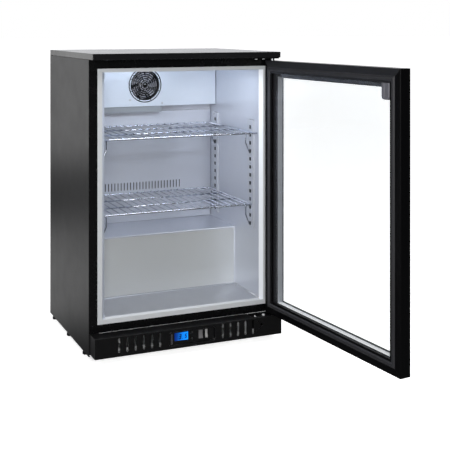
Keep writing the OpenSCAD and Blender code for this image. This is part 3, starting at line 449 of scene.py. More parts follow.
LINER = surface("liner_aluminium", (0.60, 0.625, 0.69), 0.34, metallic=0.45, variation=0.07,
                variation_scale=4.0, rough_spread=0.05, rough_scale=18.0, bump_scale=330.0,
                bump_height=0.14, zones=liner_painted_shade_and_light())
SHELF_STEEL = surface("pilaster_aluminium", (0.60, 0.62, 0.67), 0.34, metallic=0.45, variation=0.06,
                      bump_scale=650.0, bump_height=0.04, edge=0.8 * MM)
WHITE_SHEET = surface("coated_aluminium", (0.66, 0.71, 0.78), 0.36, metallic=0.25, variation=0.04,
                      bump_scale=330.0, bump_height=0.08, edge=1.0 * MM)
TRIM_LOW, TRIM_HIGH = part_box("breaker_trim")


def reveal_painted_shade_and_highlight():
    """Boxes over the sloping sides of the trim: painted shade in the liner's tone on the left, a painted highlight
    on the right.
    """
    # Painted shade on the left reveal and a painted highlight on the right one
    liner_tone, pale = (0.50, 0.53, 0.60), (0.93, 0.96, 1.0)
    flange, reveal = 14.2 * MM, 25 * MM
    front, back = TRIM_LOW.y + 0.4 * MM, TRIM_HIGH.y + 1 * MM
    sill, head = TRIM_LOW.z + 14 * MM, TRIM_HIGH.z - 11 * MM
    return [((TRIM_LOW.x + flange, front, sill), (TRIM_LOW.x + reveal, back, head), liner_tone),
            ((TRIM_HIGH.x - reveal, front, sill), (TRIM_HIGH.x - flange, back, head), pale)]


TRIM = surface("pale_pvc", (0.66, 0.68, 0.70), 0.4, variation=0.05, bump_scale=1200.0, bump_height=0.012,
               zones=reveal_painted_shade_and_highlight())
BLACK_PLASTIC = surface("black_moulding", (0.012, 0.012, 0.013), 0.45, variation=0.2, bump_scale=1800.0,
                        bump_height=0.03, specular=0.4, edge=0.4 * MM)
GLOSS_BLACK = surface("gloss_black", (0.004, 0.004, 0.0045), 0.16, variation=0.2, bump_scale=400.0,
                      bump_height=0.004, edge=0.4 * MM)
GREY_PLASTIC = surface("grey_moulding", (0.10, 0.105, 0.11), 0.42, variation=0.1, bump_scale=2000.0,
                       edge=0.4 * MM)
RUBBER = surface("black_rubber", (0.014, 0.014, 0.0145), 0.72, variation=0.25, bump_scale=1500.0,
                 bump_height=0.05, specular=0.25)
SEAL = surface("flexible_seal", (0.030, 0.030, 0.034), 0.5, grain=(1, 1, 0.2), bump_scale=1100.0)
ZINC_PLATE = surface("zinc_plate", (0.62, 0.63, 0.64), 0.28, metallic=1.0, variation=0.12,
                     bump_height=0.01, edge=0.3 * MM)
# Zinc plate painted near white and barely metallic: a painted glint on the hinge screws and the closer spring
ZINC_PAINTED_GLINT = surface("zinc_painted_glint", (0.85, 0.86, 0.87), 0.3, metallic=0.15, variation=0.1,
                      bump_height=0.01, edge=0.3 * MM)
# The drip tray's sheet, painted dark grey: painted shade below the evaporator cover
TRAY_PAINTED_SHADE = surface("tray_sheet_painted_shade", (0.30, 0.32, 0.34), 0.4, metallic=0.3, variation=0.08,
                     bump_scale=330.0, bump_height=0.08)
BARE_FINS = surface("bare_fins", (0.64, 0.66, 0.68), 0.34, metallic=1.0, variation=0.12)
PAN_LOW, PAN_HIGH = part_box("base_pan")


def pan_ends_painted_shade():
    """Boxes over the ends of the base pan: painted shade, black, where they show in the gaps beside the grille."""
    # Black here is painted shade in the gaps between the side panels and the grille
    black, end, margin = (0.004, 0.004, 0.004), 30 * MM, Vector((MM, MM, MM))
    low, high = PAN_LOW - margin, PAN_HIGH + margin
    return [(low, (PAN_LOW.x + end, high.y, high.z), black),
            ((PAN_HIGH.x - end, low.y, low.z), high, black)]


# The galvanised pan, painted near white: a painted highlight where it shows through the grille slots
PAN_PAINTED_LIGHT_AND_SHADE = surface("pan_painted_light_and_shade", (0.86, 0.88, 0.90), 0.5, variation_scale=70.0,
                    rough_spread=0.14, rough_scale=60.0, zones=pan_ends_painted_shade())
# Grey fan blades, lightened to make up for the shade in the closed fan throat: part their colour, part painted
# light
ROTOR_GREY_PAINTED_LIGHT = surface("rotor_grey_painted_light", (0.46, 0.46, 0.51), 0.42, variation=0.12, bump_scale=1800.0,
                     edge=0.4 * MM)
STEEL = surface("plain_steel", (0.42, 0.43, 0.45), 0.38, metallic=1.0, variation=0.2,
                variation_scale=40.0, rough_spread=0.14, edge=0.4 * MM)
CHROME_WIRE = surface("bright_wire", (0.54, 0.56, 0.62), 0.10, metallic=1.0, variation=0.08,
                      rough_spread=0.05, bump_height=0.004)
BLACK_ENAMEL = surface("black_enamel", (0.01, 0.01, 0.011), 0.22, variation=0.3, bump_scale=300.0,
                       coat=0.4)
COPPER = surface("drawn_copper", (0.72, 0.33, 0.18), 0.3, metallic=1.0, variation=0.25,
                 variation_scale=50.0, rough_spread=0.12, bump_height=0.01)
SPACER = surface("spacer_bar", (0.50, 0.52, 0.56), 0.4, metallic=0.35, variation=0.06, bump_scale=500.0,
                 bump_height=0.03)
# The spacer's metal painted near white: a painted highlight on its upward faces
SPACER_PAINTED_HIGHLIGHT = surface("spacer_bar_painted_highlight", (0.95, 0.96, 0.98), 0.45, variation=0.05, bump_scale=500.0,
                        bump_height=0.03)
CAST_ZINC = surface("cast_zinc", (0.20, 0.20, 0.225), 0.42, metallic=0.4, variation=0.12,
                    bump_scale=1300.0, bump_height=0.03)
GLASS = clear_glass("float_glass")
DISPLAY = glowing("lit_display", (0.004, 0.26, 1.0), 0.85, fade=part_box("lcd_lens"),
                  dark=(0.0, 0.018, 0.16))
LED = glowing("opal_diffuser", (0.92, 0.96, 1.0), 2.0, scale=60.0)
GROOVE_GREY = surface("groove_grey", (0.09, 0.085, 0.095), 0.3, variation=0.2)
LCD_INK = surface("display_ink", (0.0, 0.002, 0.012), 0.5, variation=0.2, bump_scale=2000.0,
                  bump_height=0.004, specular=0.1)
SWITCH_GREY = surface("switch_grey", (0.17, 0.165, 0.17), 0.34, variation=0.12, bump_scale=1500.0,
                      edge=0.6 * MM)
# The same rocker as the power switch, painted paler: a painted highlight where its tilt catches the light
SWITCH_PAINTED_HIGHLIGHT = surface("switch_painted_highlight", (0.42, 0.41, 0.41), 0.34, variation=0.12, bump_scale=1500.0,
                      edge=0.6 * MM)
BUTTON_GREY = surface("button_grey", (0.03, 0.031, 0.033), 0.4, variation=0.1, bump_scale=2000.0,
                      edge=0.4 * MM)

FINISHES = {
    "black_paint": BLACK_PAINT, "galvanised": GALVANISED, "foam": FOAM, "liner_aluminium": LINER,
    "trim_plastic": TRIM, "black_plastic": BLACK_PLASTIC, "gloss_black": GLOSS_BLACK,
    "grey_plastic": GREY_PLASTIC, "rubber": RUBBER, "zinc_screw": ZINC_PLATE, "display": DISPLAY,
    "white_sheet": WHITE_SHEET, "coil_metal": BARE_FINS, "led": LED, "chrome_wire": CHROME_WIRE,
    "steel": STEEL, "black_enamel": BLACK_ENAMEL, "copper": COPPER, "door_profile": DOOR_PROFILE,
    "seal": SEAL, "clear_glass": GLASS, "spacer_metal": SPACER, "zinc_cast": CAST_ZINC,
}
# Nodes whose finish differs from the rest of their slot
OWN_FINISHES = {
    "front_frame": BLACK_FRONT, "kick_grille": GRILLE_PLASTIC, "top_panel": CAP_PAINT,
    "shelf_pilasters": SHELF_STEEL, "base_pan": PAN_PAINTED_LIGHT_AND_SHADE, "drip_tray": TRAY_PAINTED_SHADE,
    "hinge_screws": ZINC_PAINTED_GLINT, "door_rail_top": TOP_RAIL_PAINTED_LIGHT, "power_switch": SWITCH_GREY,
    "light_switch": SWITCH_PAINTED_HIGHLIGHT, "button_up": BUTTON_GREY, "button_down": BUTTON_GREY,
    "hinge_bracket_upper": BLACK_FRONT, "hinge_bracket_lower": BLACK_FRONT, "strike_plate": BLACK_FRONT,
}
SLOTS = {s["node"]: s["material_slot"] for s in frame["record"]["subparts"]}


def paint(obj, material):
    """Gives the whole object one material."""
    obj.data.materials.clear()
    obj.data.materials.append(material)
    for p in obj.data.polygons:
        p.material_index = 0
    return obj


for node_name, node_object in NODES.items():
    paint(node_object, OWN_FINISHES.get(node_name, FINISHES[SLOTS[node_name]]))


def spacer_finish():
    """Bare metal on the spacer's edges, with a painted highlight on its upward faces along the bottom; black
    sealant against the panes.
    """
    across = DOOR.to_3x3() @ Vector((0, 1, 0))
    mesh = NODES["glass_spacer"].data
    mesh.materials.append(SEAL)
    mesh.materials.append(SPACER_PAINTED_HIGHLIGHT)
    for face in mesh.polygons:
        sealed, upward = abs(face.normal.dot(across)) > FACING, face.normal.z > FACING
        # Faces that look up take the painted highlight
        face.material_index = 1 if sealed else 2 if upward else 0


def bezel_finish():
    """Grey lining in the groove at the left end of the bezel."""
    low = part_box("controller_bezel")[0]
    groove_x, groove_y = (4 * MM, 12 * MM), (0.4 * MM, 4 * MM)
    mesh = NODES["controller_bezel"].data
    mesh.materials.append(GROOVE_GREY)
    for face in mesh.polygons:
        at = face.center - low
        if groove_x[0] < at.x < groove_x[1] and groove_y[0] < at.y < groove_y[1]:
            face.material_index = 1


def grille_finish():
    """The ends of the grille shine like the side panels."""
    smallest_end = 10 * MM * 10 * MM
    mesh = NODES["kick_grille"].data
    mesh.materials.append(BLACK_PAINT)
    for face in mesh.polygons:
        face.material_index = 1 if abs(face.normal.x) > FACING and face.area > smallest_end else 0


spacer_finish()
bezel_finish()
grille_finish()


def stand_in(obj, body, *nodes, material=None):
    """A finished Blender piece that takes the place of CAD nodes."""
    paint(obj, material or FINISHES[SLOTS[nodes[0]]])
    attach(obj, body)
    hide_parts(*nodes)
    return obj


def extra(obj, body, material):
    """A finished Blender piece that adds detail beside the CAD nodes."""
    paint(obj, material)
    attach(obj, body)
    return obj


# ---- Softened edges on the CAD shells ----

for shell, width in (("side_panel_left", 0.45), ("side_panel_right", 0.45), ("top_panel", 0.9),
                     ("kick_grille", 0.7), ("breaker_trim", 0.4), ("controller_bezel", 0.4),
                     ("door_stile_hinge", 0.8), ("door_stile_free", 0.8), ("door_rail_top", 0.8),
                     ("door_rail_bottom", 0.8), ("power_switch", 0.6), ("light_switch", 0.6)):
    bevel(NODES[shell], width * MM)


# ---- Liner ----

def liner():
    """Pressed liner: the stepped room with rounded folds, one sheet thick."""
    low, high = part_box("inner_liner")
    sheet, largest_fold = 1 * MM, 5e-3
    floor, ceiling, back = low.z + sheet, high.z - sheet, high.y - sheet
    section = [(low.y, floor), (STEP_Y, floor), (STEP_Y, STEP_Z), (back, STEP_Z), (back, ceiling),
               (low.y, ceiling)]
    made = bmesh.new()
    sides = [[made.verts.new((x, y, z)) for y, z in section] for x in (low.x + sheet, high.x - sheet)]
    for a, b in zip(range(5), range(1, 6)):
        made.faces.new([sides[0][a], sides[1][a], sides[1][b], sides[0][b]])
    made.faces.new(sides[0])
    made.faces.new(list(reversed(sides[1])))
    made.normal_update()
    folds = [e for e in made.edges if len(e.link_faces) == 2]
    bmesh.ops.bevel(made, geom=folds, offset=4 * MM, segments=4, profile=0.5, affect="EDGES")
    bmesh.ops.recalc_face_normals(made, faces=made.faces)
    # The sheet is given its thickness behind the faces, so they have to look into the room
    room_mid = Vector(((low.x + high.x) / 2, (low.y + back) / 2, (floor + ceiling) / 2))
    widest = max(made.faces, key=lambda f: f.calc_area())
    if (widest.calc_center_median() - room_mid).dot(widest.normal) > 0:
        bmesh.ops.reverse_faces(made, faces=made.faces)
    mesh = bpy.data.meshes.new("liner_pressing")
    made.to_mesh(mesh)
    made.free()
    for p in mesh.polygons:
        p.use_smooth = p.area < largest_fold
    pressing = in_scene("liner_pressing", mesh)
    wall = pressing.modifiers.new("wall", "SOLIDIFY")
    wall.thickness = 0.9 * MM
    wall.offset = -1
    return stand_in(pressing, "cabinet", "inner_liner")


liner()


# ---- Wire shelves ----

def wire_shelf(node):
    """Rim, cross rods and wires that turn down over the rim. A shelf that is wider than the lower one has
    a front rod that reaches past the rim."""
    low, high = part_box(node)
    rim_low, rim_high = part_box("lower_shelf")
    rod, thin, wires = 2.5 * MM, 1.5 * MM, 19
    weld, end_gap, thinner = 0.6 * MM, 0.2 * MM, 0.99
    z = low.z + rod
    x0, x1, y0, y1 = rim_low.x + rod, rim_high.x - rod, low.y + rod, high.y - rod
    outline = [(x0, y0, z), (x1, y0, z), (x1, y1, z), (x0, y1, z)]
    pieces = [tube("rim", rounded_path(outline, 8 * MM, True), rod, closed=True)]
    for k in (1, 2):
        y = y0 + (y1 - y0) * k / 3
        pieces.append(tube("cross", [(x0, y, z), (x1, y, z)], rod))
    if low.x < rim_low.x:
        pieces.append(tube("front", [(low.x + end_gap, y0, z), (high.x - end_gap, y0, z)], rod * thinner))
    top = z + rod + thin - weld
    for k in range(1, wires + 1):
        x = x0 + (x1 - x0) * k / (wires + 1)
        path = [(x, y0 - rod * 0.3, z - rod * 0.2), (x, y0 - rod * 0.2, top), (x, y1 + rod * 0.2, top),
                (x, y1 + rod * 0.3, z - rod * 0.2)]
        pieces.append(tube("wire", rounded_path(path, 3 * MM, steps=4), thin, sides=10))
    return stand_in(join_meshes(node + "_wires", pieces), node, node)


wire_shelf("upper_shelf")
wire_shelf("lower_shelf")


# ---- Evaporator fan ----

def fan_guard():
    """Wire rings on spread ribs, with a cap over their middle."""
    low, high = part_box("fan_guard")
    mid, radius = (low + high) / 2, (high.x - low.x) / 2
    rings, ribs, steps = 7, 8, 48
    inset, pitch, ring_wire = 1.7 * MM, 7 * MM, 1.6 * MM
    rib_start, rib_inset, rib_wire, rib_bow = 5 * MM, 1 * MM, 1.1 * MM, Vector((0, -0.6 * MM, 0))
    pieces = []
    for k in range(rings):
        r = radius - inset - k * pitch
        path = [(mid.x + r * math.cos(a), mid.y, mid.z + r * math.sin(a))
                for a in [2 * math.pi * i / steps for i in range(steps)]]
        pieces.append(tube("ring", path, ring_wire, sides=8, closed=True))
    for k in range(ribs):
        a = (k + 0.5) * 2 * math.pi / ribs
        d = Vector((math.cos(a), 0, math.sin(a)))
        start, end = mid + d * rib_start, mid + d * (radius - rib_inset)
        pieces.append(tube("rib", [start, (start + end) / 2 + rib_bow, end], rib_wire, sides=8))
    face = Matrix.Translation(mid) @ Matrix.Rotation(math.pi / 2, 4, "X")
    cap = in_mm((0, 1.4), (6, 1.1), (8.5, 0), (6, -1), (0, -1))
    pieces.append(lathe("cap", cap, face, 32))
    return stand_in(join_meshes("fan_guard_rings", pieces), "cabinet", "fan_guard", material=GLOSS_BLACK)


def rotor(joint, blades, hub_share, pitch_deg):
    """Hub with cambered blades that flatten and sweep round towards their tips, turning about Y."""
    body = JOINTS[joint]["child"]
    low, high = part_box(body)
    mid = Vector(JOINTS[joint]["pos_m"])
    mid.y = (low.y + high.y) / 2
    tip, depth = (high.z - low.z) / 2, (high.y - low.y) / 2
    hub = tip * hub_share
    face = Matrix.Translation(mid) @ Matrix.Rotation(math.pi / 2, 4, "X")
    hub_outline = [(0, depth), (hub * 0.82, depth), (hub * 0.95, depth * 0.93), (hub, depth * 0.8),
                   (hub, -depth * 0.9), (hub * 0.92, -depth), (0, -depth)]
    pieces = [lathe("hub", hub_outline, face, 40)]
    across, out, thick, camber = 10, 8, 1.4 * MM, 2.0 * MM
    root, end, deepest = hub * 0.96, tip * 0.985, depth * 0.88
    root_cover, tip_loss, untwist, sweep = 0.80, 0.12, 0.35, 0.18
    row = across + 1
    half = (out + 1) * row
    for b in range(blades):
        verts, faces = [], []
        for side in (-0.5, 0.5):
            for i in range(out + 1):
                t = i / out
                r = root + (end - root) * t
                span = 2 * math.pi / blades * (root_cover - tip_loss * t)
                pitch = math.radians(pitch_deg) * (1 - untwist * t)
                for j in range(row):
                    s = j / across - 0.5
                    a = 2 * math.pi * b / blades + span * s + sweep * t
                    h = -math.tan(pitch) * span * s * r + camber * (0.25 - s * s) * 2
                    h = max(-deepest, min(deepest, h)) + thick * side
                    verts.append(face @ Vector((r * math.cos(a), r * math.sin(a), h)))
        for i in range(out):
            for j in range(across):
                k = i * row + j
                faces.append([k, k + 1, k + row + 1, k + row])
                faces.append([half + k, half + k + row, half + k + row + 1, half + k + 1])
        rim = list(range(row)) + [i * row + across for i in range(1, out + 1)]
        rim += [out * row + j for j in range(across - 1, -1, -1)]
        rim += [i * row for i in range(out - 1, 0, -1)]
        for a, c in zip(rim, rim[1:] + rim[:1]):
            faces.append([a, half + a, half + c, c])
        pieces.append(mesh_object("blade", verts, faces))
    return stand_in(join_meshes(body + "_blades", pieces), body, body, material=ROTOR_GREY_PAINTED_LIGHT)


fan_guard()
rotor("evap_fan_spin", 7, 0.4, 34)
rotor("condenser_fan_spin", 5, 0.22, 24)


# ---- Shelf clips ----

def shelf_clips():
    """Bent wires that hook into the pilasters, with an arm under each end of a shelf."""
    low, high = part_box("shelf_clips")
    pilaster_low, pilaster_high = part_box("shelf_pilasters")
    rod, arm, drop, tall = 2.0 * MM, 14.5 * MM, 30 * MM, 60 * MM
    gap, hook_depth, seat, from_end = 0.3 * MM, 2.5 * MM, 4.3 * MM, 19 * MM
    pieces = []
    for shelf in ("upper_shelf", "lower_shelf"):
        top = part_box(shelf)[0].z - rod - gap
        for y in (pilaster_low.y + from_end, pilaster_high.y - from_end):
            for wall, side in ((low.x, 1), (high.x, -1)):
                hook = wall - side * hook_depth
                path = [(hook, y, top), (wall + side * arm, y, top), (wall + side * arm, y, top - drop),
                        (wall + side * rod, y, top - tall), (hook, y, top - tall - seat)]
                pieces.append(tube("clip", rounded_path(path, 4 * MM), rod))
    return stand_in(join_meshes("shelf_clip_wires", pieces), "cabinet", "shelf_clips")


shelf_clips()


# ---- Door seal, lock housing ----

def door_seal():
    """Extruded seal: a root barb, two bellows and the magnet's chamber."""
    low, high = closed_box("door_gasket")
    outline = in_mm(
        (0, 6.4), (0.1, 7.0), (0.6, 7.6), (1.5, 7.8), (2.4, 7.4), (3.0, 6.9), (3.6, 7.3), (4.2, 8.2),
        (5.0, 8.65), (9.6, 8.65), (10.4, 8.3), (11.0, 7.4), (11.7, 7.0), (12.5, 7.2), (13, 6.8), (13, 6.4),
        (4.3, 6.3), (4.0, 4.2), (4.3, 3.4), (3.3, 0), (1.7, 0), (0.7, 3.4), (1.0, 4.2), (0.7, 6.3))
    seal = frame_sweep("door_seal", low, high, outline, DOOR)
    return stand_in(bevel(seal, 0.25 * MM, angle=25), "door", "door_gasket")


def lock_housing():
    """Moulded cover with a keyway groove, a stepped head and a lower end that tapers to the glass."""
    low, high = closed_box("lock_case")
    w, d = high.x - low.x, high.y - low.y
    plan = [(0, 0), (w, 0), (w, 0.45 * d), (0.88 * w, 0.92 * d), (0.80 * w, d), (0.60 * w, d),
            (0.56 * w, 0.86 * d), (0.52 * w, 0.86 * d), (0.48 * w, d), (0.06 * w, d), (0, 0.9 * d)]
    # Share of the height, share by which the outline draws in sideways, share of its depth
    rows = [(0.0, 0.35, 0.30), (0.06, 0.10, 0.78), (0.16, 0.0, 0.96), (0.80, 0.0, 0.96), (0.82, 0.0, 1.0),
            (0.97, 0.0, 1.0), (1.0, 0.04, 0.94)]
    verts = []
    for share, pull, depth in rows:
        for x, y in plan:
            x += (w / 2 - x) * pull
            verts.append(DOOR @ Vector((low.x + x, low.y + y * depth, low.z + (high.z - low.z) * share)))
    faces = ring_faces(len(rows), len(plan))
    housing = mesh_object("lock_housing", verts, faces, smooth=False)
    return stand_in(bevel(housing, 0.5 * MM, segments=3), "door", "lock_case")


door_seal()
lock_housing()


# ---- Feet, closer spring, lead, pipework, compressor ----

def glide_feet():
    """Round glides on threaded stems, in rows at the places that the feet have in the frame."""
    low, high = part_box("feet")
    radius = 9 * MM
    starts = levels("feet", 1)
    rows = [starts[0] + radius]
    for y in starts:
        if y > rows[-1] + 2 * radius:
            rows.append(y + radius)
    profile = [(0, 0), (0.86 * radius, 0), (0.96 * radius, 0.8 * MM), (radius, 2 * MM), (radius, 6 * MM),
               (0.94 * radius, 8 * MM), (0.80 * radius, 10.4 * MM), (0.45 * radius, 11 * MM),
               (0.44 * radius, high.z), (0, high.z)]
    pieces = [lathe("foot", profile, Matrix.Translation((x, y, 0)), 40)
              for x in (low.x + radius, high.x - radius) for y in rows]
    return stand_in(join_meshes("glide_feet", pieces), "cabinet", "feet")


def spring():
    """Coil round the hinge pin, with an arm from its top that hooks over the bracket."""
    low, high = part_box("closer_spring")
    rod, coil, bend = 1.0 * MM, 8 * MM, 2 * MM
    turns, per_turn = 4, 24
    steps = turns * per_turn
    top = high.z - 9.2 * MM
    height = top - low.z - 2 * rod
    path = []
    for k in range(steps + 1):
        a = 2 * math.pi * k / per_turn
        path.append((HINGE.x + coil * math.cos(a), HINGE.y - coil * math.sin(a),
                     low.z + rod + height * k / steps))
    hook_x, hook_y, hook_z = low.x + rod, low.y + 10 * MM, high.z - rod
    arm = [Vector(path[-1]), (hook_x + bend, hook_y, top), (hook_x, hook_y, top + bend),
           (hook_x, hook_y, hook_z), (hook_x, low.y, hook_z)]
    pieces = [tube("coil", path, rod, sides=10), tube("arm", rounded_path(arm, bend), rod, sides=10)]
    return stand_in(join_meshes("closer_coil", pieces), "cabinet", "closer_spring", material=ZINC_PAINTED_GLINT)


def mains_lead():
    """Lead that leaves the rear grille through a gland and is looped up, with its two-pin plug down."""
    wire, away, bend = 3.5 * MM, 11 * MM, 12 * MM
    exit_z, top_z, plug_low, plug_high = 38 * MM, 147 * MM, 62 * MM, 92 * MM
    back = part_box("rear_grille")[1].y
    y = back + away
    exit_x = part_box("power_cord")[1].x - 6 * MM
    loop_x = exit_x - 25 * MM
    route = [(exit_x, back - 5 * MM, exit_z), (exit_x, y, exit_z), (exit_x, y, top_z), (loop_x, y, top_z),
             (loop_x, y, plug_high + 4 * MM)]
    gland = in_mm((0, -6.5), (6, -6.5), (6, 1), (9, 1.2), (9, 3), (6.5, 4), (5, 9), (4, 9.4), (0, 9.4))
    gland_place = Matrix.Translation((exit_x, back, exit_z)) @ Matrix.Rotation(-math.pi / 2, 4, "X")
    neck = in_mm((0, 90), (7, 90), (6, 96), (5, 104), (0, 104))
    lead = [tube("cord", rounded_path(route, bend, steps=10), wire),
            lathe("gland", gland, gland_place, 32),
            lathe("neck", neck, Matrix.Translation((loop_x, y, 0)), 24)]
    stand_in(join_meshes("mains_lead", lead), "cabinet", "power_cord")
    plug = block("mains_plug", (loop_x - 13 * MM, back + 1 * MM, plug_low),
                 (loop_x + 13 * MM, back + 21 * MM, plug_high))
    extra(bevel(plug, 4 * MM, segments=4), "cabinet", BLACK_PLASTIC)
    for side, x in (("left", loop_x - 7 * MM), ("right", loop_x + 7 * MM)):
        prong = block("plug_prong_" + side, (x - 1 * MM, y - 3 * MM, plug_low - 18 * MM),
                      (x + 1 * MM, y + 3 * MM, plug_low + 1 * MM))
        extra(bevel(prong, 0.4 * MM), "cabinet", ZINC_PLATE)


glide_feet()
spring()
mains_lead()


def pipework():
    """Copper line from the compressor over to the condenser, with the filter drier in its fall."""
    low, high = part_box("refrigerant_lines")
    pipe, bend = 4 * MM, 16 * MM
    left, right = low.x + 21 * MM, high.x - pipe
    front, back = low.y + pipe, high.y - pipe
    top, bottom = high.z - pipe, low.z + pipe
    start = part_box("compressor")[1].z - 22 * MM
    route = [(right, back, start), (right, back, top), (left, back, top), (left, back, bottom),
             (left, front, bottom), (low.x, front, bottom)]
    drier = in_mm((0, 0), (4.2, 0), (5, 4), (10, 12), (11, 16), (11, 64), (10, 68), (5, 76), (4.2, 80),
                  (0, 80))
    pieces = [tube("line", rounded_path(route, bend, steps=8), pipe, sides=16),
              lathe("drier", drier, Matrix.Translation((left, back, 110 * MM)), 32)]
    return stand_in(join_meshes("copper_pipework", pieces), "cabinet", "refrigerant_lines")


def compressor():
    """Welded shell with a domed head and a rolled seam, on a foot plate, with its terminal cover."""
    low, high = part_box("compressor")
    tall, shoulder = high.z - low.z, 105 * MM
    r, arcs = 70 * MM, 9
    mid_x, mid_y = (low.x + high.x) / 2, high.y - r
    outline = [(0, 0.5 * MM), (0.55 * r, 0.5 * MM), (0.72 * r, 3 * MM), (0.88 * r, 9 * MM),
               (0.97 * r, 17 * MM), (0.985 * r, 30 * MM), (0.985 * r, 60 * MM), (r, 61 * MM),
               (r, 66 * MM), (0.975 * r, 67 * MM), (0.975 * r, shoulder)]
    for k in range(1, arcs):
        a = math.radians(90 * k / arcs)
        outline.append((0.975 * r * math.cos(a) ** 0.85, shoulder + (tall - shoulder) * math.sin(a)))
    outline.append((0, tall))
    shell = lathe("compressor_shell", outline, Matrix.Translation((mid_x, mid_y, low.z)), 64)
    cover = block("compressor_terminal_cover", (mid_x - 25 * MM, low.y + 0.4 * MM, low.z + 40 * MM),
                  (mid_x + 25 * MM, low.y + 24 * MM, low.z + 95 * MM))
    plate = block("compressor_foot_plate", (low.x, mid_y - 67 * MM, low.z),
                  (high.x, mid_y + 67 * MM, low.z + 2.5 * MM))
    extra(bevel(cover, 5 * MM, segments=4), "cabinet", BLACK_PLASTIC)
    extra(bevel(plate, 1 * MM), "cabinet", BLACK_ENAMEL)
    return stand_in(shell, "cabinet", "compressor")


pipework()
compressor()


# ---- Display digits ----

def seven_segments(text, low, tall, y):
    """Slanted seven-segment figures, in a row from low."""
    shapes = {"3": "abcdg", "5": "acdfg"}
    wide, stroke, slant, thick = 0.52 * tall, 0.22 * tall, 0.16, 0.15 * MM
    trim = 0.12 * stroke
    top, half = tall - stroke, (tall - stroke) / 2
    places = {"a": (0, top, wide, stroke), "d": (0, 0, wide, stroke), "g": (0, half, wide, stroke),
              "f": (0, half, stroke, half + stroke), "c": (wide - stroke, 0, stroke, half + stroke),
              "b": (wide - stroke, half, stroke, half + stroke)}
    pieces = []
    x = low.x
    for letter in text:
        point = letter == "."
        bars = [(0, 0, stroke, stroke)] if point else [places[s] for s in shapes[letter]]
        for bx, bz, bw, bh in bars:
            bar = block("bar", (x + bx + trim, y, low.z + bz + trim),
                        (x + bx + bw - trim, y + thick, low.z + bz + bh - trim))
            for v in bar.data.vertices:
                v.co.x += slant * (v.co.z - low.z)
            pieces.append(bar)
        x += 2.0 * stroke if point else wide + 1.2 * stroke
    return pieces


def display():
    """Dark figures just in front of the lit lens."""
    low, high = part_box("lcd_lens")
    left, sill, head, gap = 0.30, 0.16, 0.80, 0.2 * MM
    w, h = high.x - low.x, high.z - low.z
    first = Vector((low.x + left * w, 0, low.z + sill * h))
    pieces = seven_segments("3.5", first, (low.z + head * h) - first.z, low.y - gap)
    extra(join_meshes("display_digits", pieces), "cabinet", LCD_INK)


display()


# ---- Stage: floor, lights, camera ----

def backdrop():
    """White paper to the camera. Reflections see it bright behind the cabinet at the right only."""
    world = bpy.data.worlds.new("studio_world")
    bpy.context.scene.world = world
    n = Nodes(world, "ShaderNodeOutputWorld")
    direction = n.add("ShaderNodeTexCoord").outputs["Generated"]
    along = n.add("ShaderNodeSeparateXYZ", Vector=direction).outputs
    level = n.maths("MULTIPLY", n.ramp(along["Y"], -0.15, 0.75, 0.04, 1.0, "SMOOTHSTEP"),
                    n.ramp(along["X"], -0.31, 0.08, 0.07, 1.0, "SMOOTHSTEP"))
    soft = n.add("ShaderNodeBackground", Color=(0.96, 0.97, 1.0, 1), Strength=level)
    white = n.add("ShaderNodeBackground", Color=(1, 1, 1, 1))
    seen = n.add("ShaderNodeLightPath").outputs["Is Camera Ray"]
    n.finish(n.mix(seen, soft.outputs["Background"], white.outputs["Background"]))


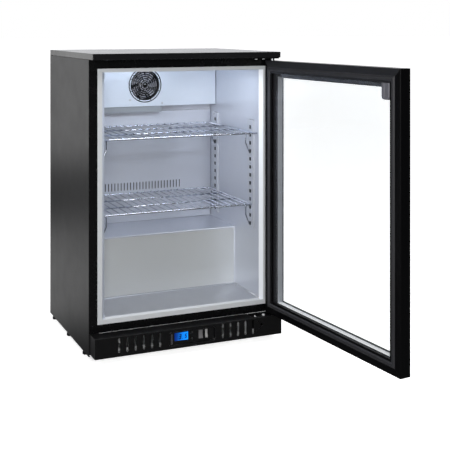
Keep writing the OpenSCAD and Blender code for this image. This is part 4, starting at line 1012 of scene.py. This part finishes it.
def pale_floor():
    """Pale floor that brightens away from the object until it meets the backdrop, with painted shadow under the
    cabinet. Reflections see a copy of the floor in painted shade, with painted light glowing behind the cabinet
    only."""
    reach = 60
    corners = [(-reach, -reach, 0), (reach, -reach, 0), (reach, reach, 0), (-reach, reach, 0)]
    floor = mesh_object("studio_floor", corners, [[0, 1, 2, 3]], False)
    n = Nodes(bpy.data.materials.new("floor_paint"))
    place = n.add("ShaderNodeTexCoord").outputs["Object"]
    mottle = n.add("ShaderNodeTexNoise", Vector=place, Scale=30.0, Detail=3.0)
    relief = n.add("ShaderNodeBump", Strength=0.2, Distance=0.1 * MM, Height=mottle.outputs["Fac"])
    away = n.add("ShaderNodeVectorMath", operation="LENGTH", Vector=place)
    lit = n.ramp(away.outputs["Value"], 0.5, 2.2, 0.78, 1.0, "SMOOTHSTEP")
    centre = ((PAN_LOW.x + PAN_HIGH.x) / 2, (PAN_LOW.y + PAN_HIGH.y) / 2, 0)
    per_half = (2 / (PAN_HIGH.x - PAN_LOW.x), 2 / (PAN_HIGH.y - PAN_LOW.y), 0)
    offset = n.pair("ShaderNodeVectorMath", place, centre, operation="SUBTRACT")
    share = n.pair("ShaderNodeVectorMath", offset, per_half, operation="MULTIPLY")
    beside = n.add("ShaderNodeVectorMath", operation="ABSOLUTE", Vector=share)
    sides = n.add("ShaderNodeSeparateXYZ", Vector=beside.outputs["Vector"]).outputs
    # Painted shadow: the floor's glow falls almost to nothing under the cabinet
    outside_painted_shadow = n.ramp(n.maths("MAXIMUM", sides["X"], sides["Y"]), 0.86, 1.0, 0.03, 1.0, "SMOOTHSTEP")
    paper = n.add("ShaderNodeBsdfDiffuse", Color=(0.86, 0.86, 0.86, 1), Normal=relief.outputs["Normal"])
    glow = n.add("ShaderNodeEmission", Color=(1, 1, 1, 1), Strength=n.maths("MULTIPLY", lit, outside_painted_shadow))
    pale = n.pair("ShaderNodeAddShader", paper.outputs["BSDF"], glow.outputs["Emission"])
    y = n.add("ShaderNodeSeparateXYZ", Vector=place).outputs["Y"]
    # Painted light in reflections: a glowing band of floor behind the cabinet
    sheen = n.maths("MULTIPLY", n.ramp(y, 0.0, 0.6, 0.04, 0.55, "SMOOTHSTEP"),
                    n.ramp(y, 1.0, 2.2, 1.0, 0.10, "SMOOTHSTEP"))
    matt = n.add("ShaderNodeBsdfDiffuse", Color=(0.12, 0.12, 0.12, 1))
    faint = n.add("ShaderNodeEmission", Color=(1, 1, 1, 1), Strength=sheen)
    dim = n.pair("ShaderNodeAddShader", matt.outputs["BSDF"], faint.outputs["Emission"])
    seen = n.add("ShaderNodeLightPath").outputs["Is Camera Ray"]
    paint(floor, n.finish(n.mix(seen, dim, pale)))


def softbox(name, place, target, size, power, colour=(1, 1, 1)):
    """Rectangular lamp, aimed at a target, that the camera doesn't see."""
    light = bpy.data.lights.new(name, "AREA")
    light.shape = "RECTANGLE"
    light.size, light.size_y = size
    light.energy = power
    light.color = colour
    obj = in_scene(name, light)
    obj.location = place
    obj.rotation_euler = (Vector(target) - Vector(place)).to_track_quat("-Z", "Y").to_euler()
    obj.visible_camera = False
    return obj


def front_camera():
    """Eye-level camera turned to the left of the front. Its picture is shifted to hold the uprights
    upright; the shift ends when the camera is moved."""
    at = (-0.76476, -2.47494, 0.95469)
    lens = bpy.data.cameras.new("camera")
    camera = in_scene("camera", lens)
    lens.sensor_width = 36
    lens.lens = 70.985
    camera.location = at
    camera.rotation_euler = (math.radians(90), 0, math.radians(-21.52))
    bpy.context.scene.camera = camera
    for axis, shift in (("shift_x", 0.15978), ("shift_y", -0.44258)):
        setattr(lens, axis, shift)
        driver = lens.driver_add(axis).driver
        driver.type = "SCRIPTED"
        for name, channel in (("px", "LOC_X"), ("pz", "LOC_Z")):
            var = driver.variables.new()
            var.name = name
            var.type = "TRANSFORMS"
            var.targets[0].id = camera
            var.targets[0].transform_type = channel
            var.targets[0].transform_space = "WORLD_SPACE"
        driver.expression = ("%.5f if abs(px + %.5f) + abs(pz - %.5f) < 0.001 else 0.0"
                             % (shift, -at[0], at[2]))


def cabin_light():
    """Cool light that the lamp under the ceiling throws down into the compartment."""
    low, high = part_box("led_light")
    mid = (low + high) / 2
    place = Vector((mid.x, mid.y, low.z - 1 * MM))
    size = (0.8 * (high.x - low.x), 60 * MM)
    lamp = softbox("cabin_lamp", place, place + Vector((0, 0.6, -1)), size, 1.6, (0.78, 0.87, 1.0))
    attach(lamp, "cabinet")


backdrop()
pale_floor()
softbox("left_box", (-2.4, -1.2, 1.1), (0.2, 0.0, 0.45), (0.7, 1.8), 26)
softbox("top_box", (0.9, -0.75, 2.35), (0.3, 0.0, 0.3), (1.8, 1.0), 30)
softbox("back_left_box", (-0.75, 1.9, 0.84), (0.0, 0.2, 0.7), (0.7, 1.2), 2.8)
softbox("front_fill", (-0.9, -3.4, 1.3), (0.25, 0.2, 0.45), (1.2, 1.2), 60)
cabin_light()
front_camera()
bpy.context.scene.view_settings.view_transform = "Standard"
